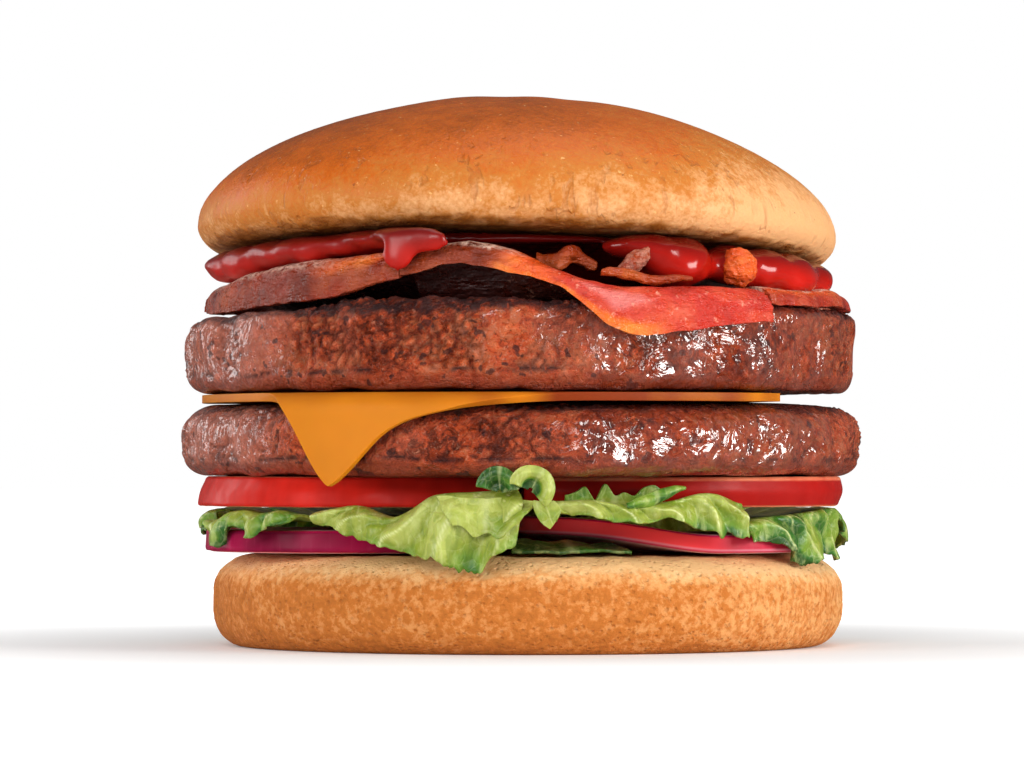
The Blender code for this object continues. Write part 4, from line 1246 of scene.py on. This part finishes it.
def crinkled(point, free, seed):
    """Moves a point of a leaf off its smooth sheet, more where it hangs free."""
    spot = point + Vector((seed, 0, 0))
    fold = noise.noise_vector(spot / 4.5)
    pucker = noise.noise_vector(spot / 1.9)
    outward = Vector((point.x, point.y, 0)).normalized()
    shift = outward * (0.5 * fold.x + 0.35 * pucker.x) + Vector((0, 0, 0.5 * fold.z + 0.25 * pucker.z))
    return point + shift * free


def pleat(form, u, v, seed):
    """-1 to 1 across the sharp folds of a leaf, which fan out and wander towards its hem."""
    wander = 0.09 * noise.noise(Vector((u * 5, v * 1.8, seed))) + form["slant"] * v
    return abs(((u + wander) * form["folds"]) % 2 - 1) * 2 - 1


def make_leaf(node, number, blade):
    form = LEAVES[node]
    first, last = form["angles"]
    columns = round(abs(last - first) * (3.0 if last < 90 else 1.6))
    start_green, end_green = form["green"]

    def place(u, v):
        free = smooth_step((v - 0.4) / 0.3)
        torn = 0.07 * noise.noise(Vector((u * 15, number, 0)))
        torn += 0.02 * noise.noise(Vector((u * 44, number, 5)))
        ragged = v * (1 + smooth_step((v - 0.6) / 0.4) * torn)
        wide = u + form.get("flare", 0.0) * u**4 * (1 - v) * free
        point = skirt_point(form, wide, ragged, 7)
        outward = Vector((point.x, point.y, 0)).normalized()
        point += outward * 0.9 * pleat(form, u, v, number) * free
        return crinkled(point, 0.1 + 0.9 * free, number * 40)

    def painted(u, v, point):
        fold = pleat(form, u, v, number)
        fan = (u - 0.5) * (0.6 + 0.7 * v)
        stem = ridge(math.sin(fan * math.pi * 7 + 0.9 * noise.noise(point / 6)), 0.14 * (1.3 - v))
        green = start_green + (end_green - start_green) * u + 0.3 * smooth_step((v - 0.86) / 0.14)
        green += 0.3 * noise.noise(point / 5) - 0.16 * fold
        rib = max(stem * smooth_step((1.05 - v) / 0.6), 0.9 * ridge(1 - fold, 0.12))
        return {"rib": rib, "green": green}

    bm = laid_grid(bmesh.new(), columns, 46, place, painted)
    thicken(finish("leaf_" + node, bm, blade, "lettuce", node), sizes().leaf_thickness / MM)


def make_small_leaf(name, node, blade, columns, rows, place, green, seed):
    """green is a pair: how dark the leaf is at the start and at the end of its rows."""

    def crumpled(u, v):
        return crinkled(place(u, v), 0.75, seed)

    def painted(u, v, point):
        depth = green[0] + (green[1] - green[0]) * smooth_step((v - 0.35) / 0.2)
        return {"rib": 0.5 * ridge(u - 0.5, 0.06), "green": depth + 0.25 * noise.noise(point / 3)}

    bm = laid_grid(bmesh.new(), columns, rows, crumpled, painted)
    thicken(finish(name, bm, blade, "lettuce", node), sizes().leaf_thickness / MM)


def under_leaf(u, v):
    angle = -2.0 + 25.0 * u
    arch = (2.0 - 0.9 * u) * math.sin(math.pi * v) * (0.85 + 0.15 * math.sin(14 * u))
    return at_angle(angle, 26.0 + 17.5 * v, HEEL_TOP + TOUCH + 0.35 + arch)


def crescent(u, v, middle, turns, radii, widths, reaches):
    """A point of a leaf bent round a middle (degrees from the front, height), sunk inside the bend."""
    turn = math.radians(turns[0] + (turns[1] - turns[0]) * u)
    width = widths[0] + (widths[1] - widths[0]) * math.sin(math.pi * u) ** 0.6
    outer = radii[0] + (radii[1] - radii[0]) * u + width / 2
    radius = outer * (0.1 + 0.9 * v)
    reach = reaches[0] + (reaches[1] - reaches[0]) * u
    swell = 0.5 * math.sin(math.pi * smooth_step((v - 0.4) / 0.6))
    reach += swell - 1.1 * (1 - smooth_step((v - 0.3) / 0.2))
    side = middle[0] + math.degrees(radius * math.cos(turn) / reach)
    return at_angle(side, reach, middle[1] + radius * math.sin(turn))


def curl(u, v):
    return crescent(u, v, (1.4, 25.3), (165, -50), (2.6, 2.7), (1.3, 2.3), (55.3, 54.8))


def dark_curl(u, v):
    return crescent(u, v, (-3.6, 25.0), (170, 8), (3.0, 2.5), (1.0, 1.9), (54.4, 53.8))


def small_tip(u, v):
    width = 4.2 * math.sin(math.pi * (0.28 + 0.64 * v))
    return at_angle(3.6 + 1.5 * v + width * (u - 0.5), 53.4 + 0.4 * v, 23.6 - 3.6 * v - 1.2 * (0.5 - u) * v)


FRILL_TOPS = (24.4, 24.9, 25.6, 23.9, 26.0, 24.4, 25.0, 24.6, 25.6, 25.9, 25.0)


def fold(u, v):
    """The part of the front leaf that is folded over its top and lies on it."""
    narrow = 0.5 + (u - 0.5) * (1 - 0.4 * v)
    reach = 51.6 + 2.2 * smooth_step(1.4 * v) + 0.5 * math.sin(7 * u + 2 * v)
    lower = 19.9 - 1.6 * math.sin(math.pi * u) + 0.5 * math.sin(15 * u)
    return at_angle(-14.5 + 17.2 * narrow, reach, (24.5 - 1.1 * u) * (1 - v) + lower * v)


def sprig(u, v):
    """A narrow, deep green leaf that points up and to the right."""
    width = 2.0 * math.sin(math.pi * (0.12 + 0.84 * u))
    height = 22.9 + 2.6 * u + width * (v - 0.5)
    return at_angle(18.0 + 10.6 * u, 51.9 + 0.5 * math.sin(math.pi * v), height)


def frill(u, v):
    lean = 0.5 * math.sin(9 * u)
    height = 22.9 + (along(FRILL_TOPS, u) - 22.9) * v
    return at_angle(8.0 + 19.0 * u, 47.0 + 0.2 * u + lean * v * 0.4 + 0.5 * v, height)


def make_lettuce():
    blade = leaf_material("lettuce", tuple(colours().lettuce), tuple(colours().lettuce_dark))
    for number, node in enumerate(LEAVES):
        make_leaf(node, number, blade)
    make_small_leaf("under_leaf", "lettuce_under", blade, 60, 30, under_leaf, (0.62, 0.95), 3)
    make_small_leaf("pale_curl", "lettuce_curl", blade, 50, 24, curl, (0.9, 0.12), 5)
    # The dark curl takes the darkest greens: a dark leaf, deepened with painted shade.
    make_small_leaf("dark_curl", "lettuce_dark_curl", blade, 40, 24, dark_curl, (1.1, 0.9), 7)
    make_small_leaf("small_tip", "lettuce_small_tip", blade, 20, 24, small_tip, (0.1, 0.3), 9)
    make_small_leaf("folded_part", "lettuce_front", blade, 80, 36, fold, (0.0, 0.32), 13)
    make_small_leaf("sprig", "lettuce_frill", blade, 60, 14, sprig, (0.85, 0.6), 15)
    make_small_leaf("frilled_edge", "lettuce_frill", blade, 90, 16, frill, (0.4, 0.62), 11)


def make_rasher(node, number, meat):
    form = RASHERS[node]
    first, last = form["angles"]
    columns = round(abs(last - first) * (2.4 if last < 60 else 1.4))
    front = node == "bacon_front"

    def place(u, v):
        torn = 0.5 + 0.5 * noise.noise(Vector((v * 9, number, 0)))
        torn += 0.4 * noise.noise(Vector((v * 30, number, 0)))
        torn *= 0.0 if node == "bacon_left" else 0.03 * smooth_step((u - 0.9) / 0.1)
        point = skirt_point(form, u - torn, v, 2, rasher_rest)
        spot = point + Vector((number * 30, 0, 0))
        outward = Vector((point.x, point.y, 0)).normalized()
        uneven = 0.25 * noise.noise(spot / 5) + 0.12 * noise.noise(spot / 1.4) - 0.2
        return point + outward * uneven + Vector((0, 0, 0.2 * noise.noise(spot / 2.2)))

    def painted(u, v, point):
        uneven = 0.5 * noise.noise(point / 4) + 0.3 * noise.noise(point / 1.6)
        crumb = smooth_step(1.2 - abs(v - 0.52) / 0.12 + uneven)
        tones = {"rim": 0.0, "brown": 0.95 + 0.3 * uneven, "crumb": crumb, "pale": 0.0}
        if node == "bacon_left":
            tones["rim"] = smooth_step((u - 0.62) / 0.3) * smooth_step(1.3 - abs(v - 0.55) / 0.16 + uneven)
            tones["crumb"] = crumb * (1 - 0.7 * smooth_step((u - 0.6) / 0.2))
        if node == "bacon_right":
            tones["rim"] = 0.7 * smooth_step(1.3 - abs(v - 0.55) / 0.2 + uneven)
            tones["brown"] = 0.5 + 0.5 * uneven
        if front:
            hem = smooth_step((v - 0.86) / 0.08 + uneven)
            arch = smooth_step(1.2 - abs(u - 0.36) / 0.09 + uneven)
            orange = smooth_step((u - 0.22) / 0.08) * smooth_step((0.72 - u) / 0.12)
            tones["rim"] = max(orange * hem, 0.8 * arch)
            tones["brown"] = 1 - smooth_step((u - 0.24) / 0.1)
            # The pale patch on the flap: partly paler lean, partly painted sheen.
            tones["pale"] = 0.9 * smooth_step(1.3 - abs(u - 0.55) / 0.09 - abs(v - 0.68) / 0.12 + uneven)
            tones["crumb"] = crumb * smooth_step((0.36 - u) / 0.12)
        hidden = 0.97 * smooth_step((0.47 - v) / 0.06) if last < SHADED_UNTIL else 0.0
        tones["crumb"] *= 1.0 if last < SHADED_UNTIL else 0.3
        return tones | {"shadow": hidden}

    bm = laid_grid(bmesh.new(), columns, 36, place, painted)
    piece = finish("rasher_" + node, bm, meat, "bacon", node)
    thicken(piece, sizes().rasher_thickness / MM)
    round_off(piece, 0.5)


def round_off(piece, millimetres):
    soften = piece.modifiers.new("soft_edge", "BEVEL")
    soften.width = millimetres * MM
    soften.segments = 3
    soften.limit_method = "ANGLE"
    soften.angle_limit = math.radians(50)


def loft(rings, sides, middle, girth):
    """A closed tube: middle(u) is a point of its line, girth(u) its half depth and half height."""
    bm = bmesh.new()
    loops = []
    for k in range(rings + 1):
        u = k / rings
        deep, tall = girth(u)
        ring = bmesh.ops.create_circle(bm, segments=sides, radius=1.0)["verts"]
        bmesh.ops.rotate(
            bm, verts=ring, cent=(0, 0, 0), matrix=Matrix.Rotation(math.radians(90), 3, "Y")
        )
        bmesh.ops.scale(bm, verts=ring, vec=(1, deep, tall))
        bmesh.ops.translate(bm, verts=ring, vec=middle(u))
        loops.append(list({e for v in ring for e in v.link_edges}))
    for one, other in zip(loops, loops[1:]):
        bmesh.ops.bridge_loops(bm, edges=one + other)
    bmesh.ops.holes_fill(bm, edges=loops[0] + loops[-1], sides=0)
    return bm


def cook(bm, brown, rim, crumb, rough=0.25):
    """Paints a small piece of meat in one tone and makes its surface uneven."""
    paints = {"brown": brown, "rim": rim, "crumb": crumb}
    for name in paints:
        tone(bm, name)
    layers = {name: tone(bm, name) for name in paints}
    for v in bm.verts:
        v.co += rough * noise.noise_vector(v.co / 1.6)
        for name, value in paints.items():
            v[layers[name]] = value


def make_strip(meat):
    def middle(u):
        return at_angle(13.4 + 17.0 * u, 52.0, 58.4 - 0.9 * smooth_step(1.6 * u) + 0.2 * math.sin(9 * u))

    def girth(u):
        end = math.sin(math.pi * (0.06 + 0.9 * u)) ** 0.4
        return 1.4 * end, (1.05 - 0.45 * u) * end

    bm = loft(90, 24, middle, girth)
    cook(bm, 1.0, 0.3, 0.0)
    finish("browned_strip", bm, meat, "bacon", "bacon_strip")


def make_chunk(name, node, meat, angle, reach, height, half_sizes, turn_degrees, seed, paints):
    """A lump of bacon or browned onion: a ball squeezed to size and dented."""
    bm = bmesh.new()
    bmesh.ops.create_icosphere(bm, subdivisions=5, radius=1.0)
    layers = {key: tone(bm, key) for key in paints}
    for v in bm.verts:
        v.co *= 1 + 0.16 * noise.noise(v.co * 1.6 + Vector((seed, seed, seed)))
        v.co *= 1 + 0.09 * noise.noise(v.co * 4 + Vector((seed, 0, 0))) + 0.03 * noise.noise(v.co * 11)
        v.co = Vector((v.co.x * half_sizes[0], v.co.y * half_sizes[1], v.co.z * half_sizes[2]))
        for key, value in paints.items():
            v[layers[key]] = value
    turn = Matrix.Rotation(math.radians(turn_degrees), 3, "Y")
    bmesh.ops.rotate(bm, verts=bm.verts, cent=(0, 0, 0), matrix=turn)
    face_out = Matrix.Rotation(math.radians(angle), 3, "Z")
    bmesh.ops.rotate(bm, verts=bm.verts, cent=(0, 0, 0), matrix=face_out)
    bmesh.ops.translate(bm, verts=bm.verts, vec=at_angle(angle, reach, height))
    finish(name, bm, meat, "bacon", node)


def make_browned_curl(meat):
    def middle(u):
        turn = math.radians(-200 + 480 * u)
        return at_angle(3.0 + 12.5 * u, 43.6 + 0.9 * math.cos(turn), 60.6 + 0.8 * math.sin(turn))

    def girth(u):
        girth = 1.9 * (1.0 - 0.35 * u) * (0.4 + 0.6 * math.sin(math.pi * u) ** 0.5)
        return girth, girth

    bm = loft(90, 28, middle, girth)
    cook(bm, 1.0, 0.25, 0.0)
    finish("browned_curl_fine", bm, meat, "bacon", "browned_curl")


def make_bacon():
    meat = bacon_material()
    for number, node in enumerate(RASHERS):
        make_rasher(node, number, meat)
    make_strip(meat)
    make_chunk("pale_bit", "bacon_bit", meat, 21.0, 48.5, 60.2, (3.3, 1.3, 1.5), -38, 5.0,
               {"brown": 0.85, "rim": 0.1, "crumb": 0.25})
    make_chunk("fried_lump", "bacon_lump", meat, 43.0, 49.5, 59.6, (2.9, 2.4, 3.0), 0, 9.0,
               {"brown": 0.35, "rim": 0.75, "crumb": 0.0})
    make_browned_curl(meat)


# The ketchup's blobs: angle, radius, how far the top lies under the crown's underside, then half
# sizes along the rim, outwards and up.
BLOBS = (
    (-80, 45.6, 0.3, 8.0, 5.4, 2.7),
    (-69, 45.0, 0.5, 7.5, 5.4, 2.9),
    (-58, 43.0, 0.3, 10.0, 6.4, 2.4),
    (-47, 43.6, 0.3, 8.0, 6.2, 2.4),
    (-38, 42.4, 0.3, 9.5, 6.6, 2.0),
    (-29, 44.5, 0.3, 7.0, 6.0, 1.6),
    (24, 45.0, 0.2, 6.5, 4.5, 2.0),
    (46, 45.6, 0.3, 7.0, 4.4, 3.2),
    (53.5, 46.0, 0.2, 5.5, 5.4, 3.4),
    (72, 45.8, 0.2, 7.8, 5.8, 3.4),
    (-17.5, 53.1, 0.9, 5.4, 1.6, 2.2),
    (-20.6, 53.5, 3.0, 2.8, 1.4, 2.4),
    (-22, 46.6, 0.3, 5.5, 8.0, 1.4),
    (31, 46.0, 0.1, 6.2, 5.0, 4.1),
    (27, 45.8, 0.0, 5.0, 4.6, 2.9),
    (61, 46.2, 0.1, 7.6, 6.2, 3.7),
    (84, 43.4, 0.3, 8.5, 5.5, 2.7),
    (116, 43.5, 0.3, 9.5, 5.0, 1.3),
    (155, 43.5, 0.3, 10.0, 4.5, 1.0),
    (200, 43.5, 0.3, 10.0, 4.5, 1.0),
    (245, 43.0, 0.3, 10.0, 5.0, 1.4),
)
KETCHUP_RADIUS, KETCHUP_LOW, KETCHUP_BELLY = 42.0, 4.4, 2.0


def make_ketchup():
    """A spread of ketchup under the crown, with thick blobs melted into its rim."""
    outline = [(0.0, 0.0), (KETCHUP_RADIUS - 1.0, 0.0), (KETCHUP_RADIUS, 0.3)]
    outline += [(KETCHUP_RADIUS, 0.7), (KETCHUP_RADIUS - 1.0, 1.0), (0.0, 1.0)]
    bm = turned(respaced(outline, 1.2, 1.6, 30.0), steps=120)
    for v in bm.verts:
        x, y = v.co.x, v.co.y
        low = patty_top(x, y) + KETCHUP_LOW
        front = smooth_step((-y - 20) / 16) * smooth_step((x + 30) / 12) * smooth_step((26 - x) / 14)
        low += 3.2 * smooth_step((-x - 12) / 18) + 5.0 * front
        low -= KETCHUP_BELLY * smooth_step((32 - math.hypot(x, y)) / 14)
        high = crown_seat(x, y) - TOUCH - 0.15
        v.co.z = low + (high - low) * v.co.z
    for angle, reach, under, wide, deep, tall in BLOBS:
        place = at_angle(angle, reach, 0)
        place.z = crown_seat(place.x, place.y) - under - 1.06 * tall
        blob = bmesh.ops.create_icosphere(bm, subdivisions=4, radius=1.0)["verts"]
        for v in blob:
            spot = v.co + Vector((angle, 0, 0))
            v.co *= 1 + 0.1 * noise.noise(spot * 1.3) + 0.12 * noise.noise(spot * 2.6)
        bmesh.ops.scale(bm, verts=blob, vec=(wide, deep, tall))
        face_out = Matrix.Rotation(math.radians(angle), 3, "Z")
        bmesh.ops.rotate(bm, verts=blob, cent=(0, 0, 0), matrix=face_out)
        bmesh.ops.translate(bm, verts=blob, vec=place)
    piece = finish("ketchup_spread", bm, ketchup_material(), "ketchup", "ketchup")
    merge = piece.modifiers.new("merge", "REMESH")
    merge.mode = "VOXEL"
    merge.voxel_size = 0.65 * MM
    merge.use_smooth_shade = True
    relax = piece.modifiers.new("relax", "SMOOTH")
    relax.factor = 0.5
    relax.iterations = 12


# The studio.


def make_floor():
    """A pale floor that brightens to white away from the burger: a painted glow that only the camera sees;
    in reflections the floor is painted dark.
    """
    bm = bmesh.new()
    bmesh.ops.create_grid(bm, x_segments=8, y_segments=8, size=4000)
    mesh = bpy.data.meshes.new("floor")
    bm.to_mesh(mesh)
    bm.free()
    mesh.transform(Matrix.Scale(MM, 4))
    floor = bpy.data.objects.new("floor", mesh)
    bpy.context.scene.collection.objects.link(floor)
    made = bpy.data.materials.new("pale_floor")
    made.use_nodes = True
    tree = made.node_tree
    shader = tree.nodes["Principled BSDF"]
    shader.inputs["Roughness"].default_value = 0.7
    shader.inputs["Emission Color"].default_value = (1.0, 1.0, 1.0, 1.0)
    far = put(tree, "ShaderNodeVectorMath", {0: object_place(tree)}, operation="LENGTH").outputs["Value"]
    ray = put(tree, "ShaderNodeLightPath").outputs
    # Painted light: the floor glows for the camera only, more the farther it lies from the burger.
    glow = times(tree, between(tree, far, 0.06, 0.22, 0.12, 0.9), ray["Is Camera Ray"])
    tree.links.new(glow, shader.inputs["Emission Strength"])
    mirrored = blended(tree, ray["Is Glossy Ray"], (0.86, 0.86, 0.86), (0.16, 0.12, 0.1))
    tree.links.new(mirrored, shader.inputs["Base Color"])
    mesh.materials.append(made)


def make_light(name, place, aim, size, power, colour=(1, 1, 1)):
    lamp = bpy.data.lights.new(name, "AREA")
    lamp.shape = "RECTANGLE"
    lamp.size, lamp.size_y = size
    lamp.energy = power
    lamp.color = colour
    holder = bpy.data.objects.new(name, lamp)
    holder.location = place
    holder.rotation_euler = (Vector(aim) - Vector(place)).to_track_quat("-Z", "Y").to_euler()
    bpy.context.scene.collection.objects.link(holder)


def make_world():
    """White to the camera, softer as a light on the food."""
    world = bpy.data.worlds.new("studio")
    bpy.context.scene.world = world
    world.use_nodes = True
    tree = world.node_tree
    tree.nodes.clear()
    ray = put(tree, "ShaderNodeLightPath").outputs
    shine = times(tree, ray["Is Glossy Ray"], -0.22)
    lit = plus(tree, shine, 0.34)
    seen = plus(tree, times(tree, ray["Is Camera Ray"], 0.66), lit)
    sky = put(tree, "ShaderNodeBackground", {"Color": (1, 1, 1, 1), "Strength": seen})
    end = tree.nodes.new("ShaderNodeOutputWorld")
    tree.links.new(sky.outputs[0], end.inputs["Surface"])


def make_camera():
    studio = bpy.context.scene.burger_studio
    frame_width, frame_height, sensor = 1024, 768, 36.0
    camera = bpy.data.cameras.new("camera")
    camera.sensor_width = sensor
    camera.lens = studio.focal_pixels / frame_width * sensor
    camera.clip_end = 20.0
    holder = bpy.data.objects.new("camera", camera)
    tilt = math.atan((studio.horizon_row - frame_height / 2) / studio.focal_pixels)
    holder.location = (-studio.side_step, -studio.distance, studio.eye_height)
    holder.rotation_euler = (math.pi / 2 + tilt, 0, 0)
    bpy.context.scene.collection.objects.link(holder)
    bpy.context.scene.camera = holder


def make_studio():
    make_floor()
    make_world()
    make_camera()
    power = bpy.context.scene.burger_studio.key_power
    middle = (0, 0, 0.045)
    make_light("key", (0.53, -0.3, 0.16), middle, (0.28, 0.24), power, (1.0, 0.98, 0.95))
    make_light("front", (-0.12, -0.85, 0.42), middle, (0.4, 0.3), 1.0 * power)
    make_light("left_fill", (-0.5, -0.42, 0.18), middle, (0.3, 0.3), 0.55 * power)
    make_light("left_rim", (-0.5, 0.3, 0.16), middle, (0.2, 0.4), 0.3 * power)
    make_light("top", (0.1, 0.05, 0.75), middle, (0.5, 0.5), 0.42 * power)
    bpy.context.scene.view_settings.view_transform = "Standard"


# The operators, in the order that main calls them.


class BURGER_OT_bun(bpy.types.Operator):
    """Bakes both halves of the bun"""

    bl_idname = "burger.bun"
    bl_label = "Bun"

    def execute(self, context):
        make_heel()
        make_crown()
        return {"FINISHED"}


class BURGER_OT_patties(bpy.types.Operator):
    """Forms both patties of minced beef"""

    bl_idname = "burger.patties"
    bl_label = "Patties"

    def execute(self, context):
        make_patties()
        return {"FINISHED"}


class BURGER_OT_cheese(bpy.types.Operator):
    """Lays the drooping slice of cheese"""

    bl_idname = "burger.cheese"
    bl_label = "Cheese"

    def execute(self, context):
        make_cheese()
        return {"FINISHED"}


class BURGER_OT_salad_slices(bpy.types.Operator):
    """Cuts the tomato and onion slices"""

    bl_idname = "burger.salad_slices"
    bl_label = "Tomato and onion"

    def execute(self, context):
        make_salad_slices()
        return {"FINISHED"}


class BURGER_OT_lettuce(bpy.types.Operator):
    """Ruffles the lettuce leaves"""

    bl_idname = "burger.lettuce"
    bl_label = "Lettuce"

    def execute(self, context):
        make_lettuce()
        return {"FINISHED"}


class BURGER_OT_bacon(bpy.types.Operator):
    """Folds the rashers and the fried bits"""

    bl_idname = "burger.bacon"
    bl_label = "Bacon"

    def execute(self, context):
        make_bacon()
        return {"FINISHED"}


class BURGER_OT_ketchup(bpy.types.Operator):
    """Spreads the ketchup under the crown"""

    bl_idname = "burger.ketchup"
    bl_label = "Ketchup"

    def execute(self, context):
        make_ketchup()
        return {"FINISHED"}


class BURGER_OT_studio(bpy.types.Operator):
    """Sets up the floor, the lights and the camera"""

    bl_idname = "burger.studio"
    bl_label = "Studio"

    def execute(self, context):
        make_studio()
        return {"FINISHED"}


OPERATORS = (
    BURGER_OT_bun,
    BURGER_OT_patties,
    BURGER_OT_cheese,
    BURGER_OT_salad_slices,
    BURGER_OT_lettuce,
    BURGER_OT_bacon,
    BURGER_OT_ketchup,
    BURGER_OT_studio,
)


class BURGER_PT_panel(bpy.types.Panel):
    """Lists the burger's layers in the sidebar."""

    bl_label = "Burger"
    bl_space_type = "VIEW_3D"
    bl_region_type = "UI"
    bl_category = "Burger"

    def draw(self, context):
        for kind in OPERATORS:
            self.layout.operator(kind.bl_idname)


CLASSES = (BurgerSizes, BurgerColours, BurgerStudio, *OPERATORS, BURGER_PT_panel)


def register():
    for kind in CLASSES:
        bpy.utils.register_class(kind)
    bpy.types.Scene.burger_sizes = PointerProperty(type=BurgerSizes)
    bpy.types.Scene.burger_colours = PointerProperty(type=BurgerColours)
    bpy.types.Scene.burger_studio = PointerProperty(type=BurgerStudio)


def unregister():
    for name in ("burger_sizes", "burger_colours", "burger_studio"):
        delattr(bpy.types.Scene, name)
    for kind in reversed(CLASSES):
        bpy.utils.unregister_class(kind)


def main():
    register()
    for kind in OPERATORS:
        getattr(bpy.ops.burger, kind.bl_idname.split(".")[1])()
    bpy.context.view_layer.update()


if __name__ == "__main__":
    main()
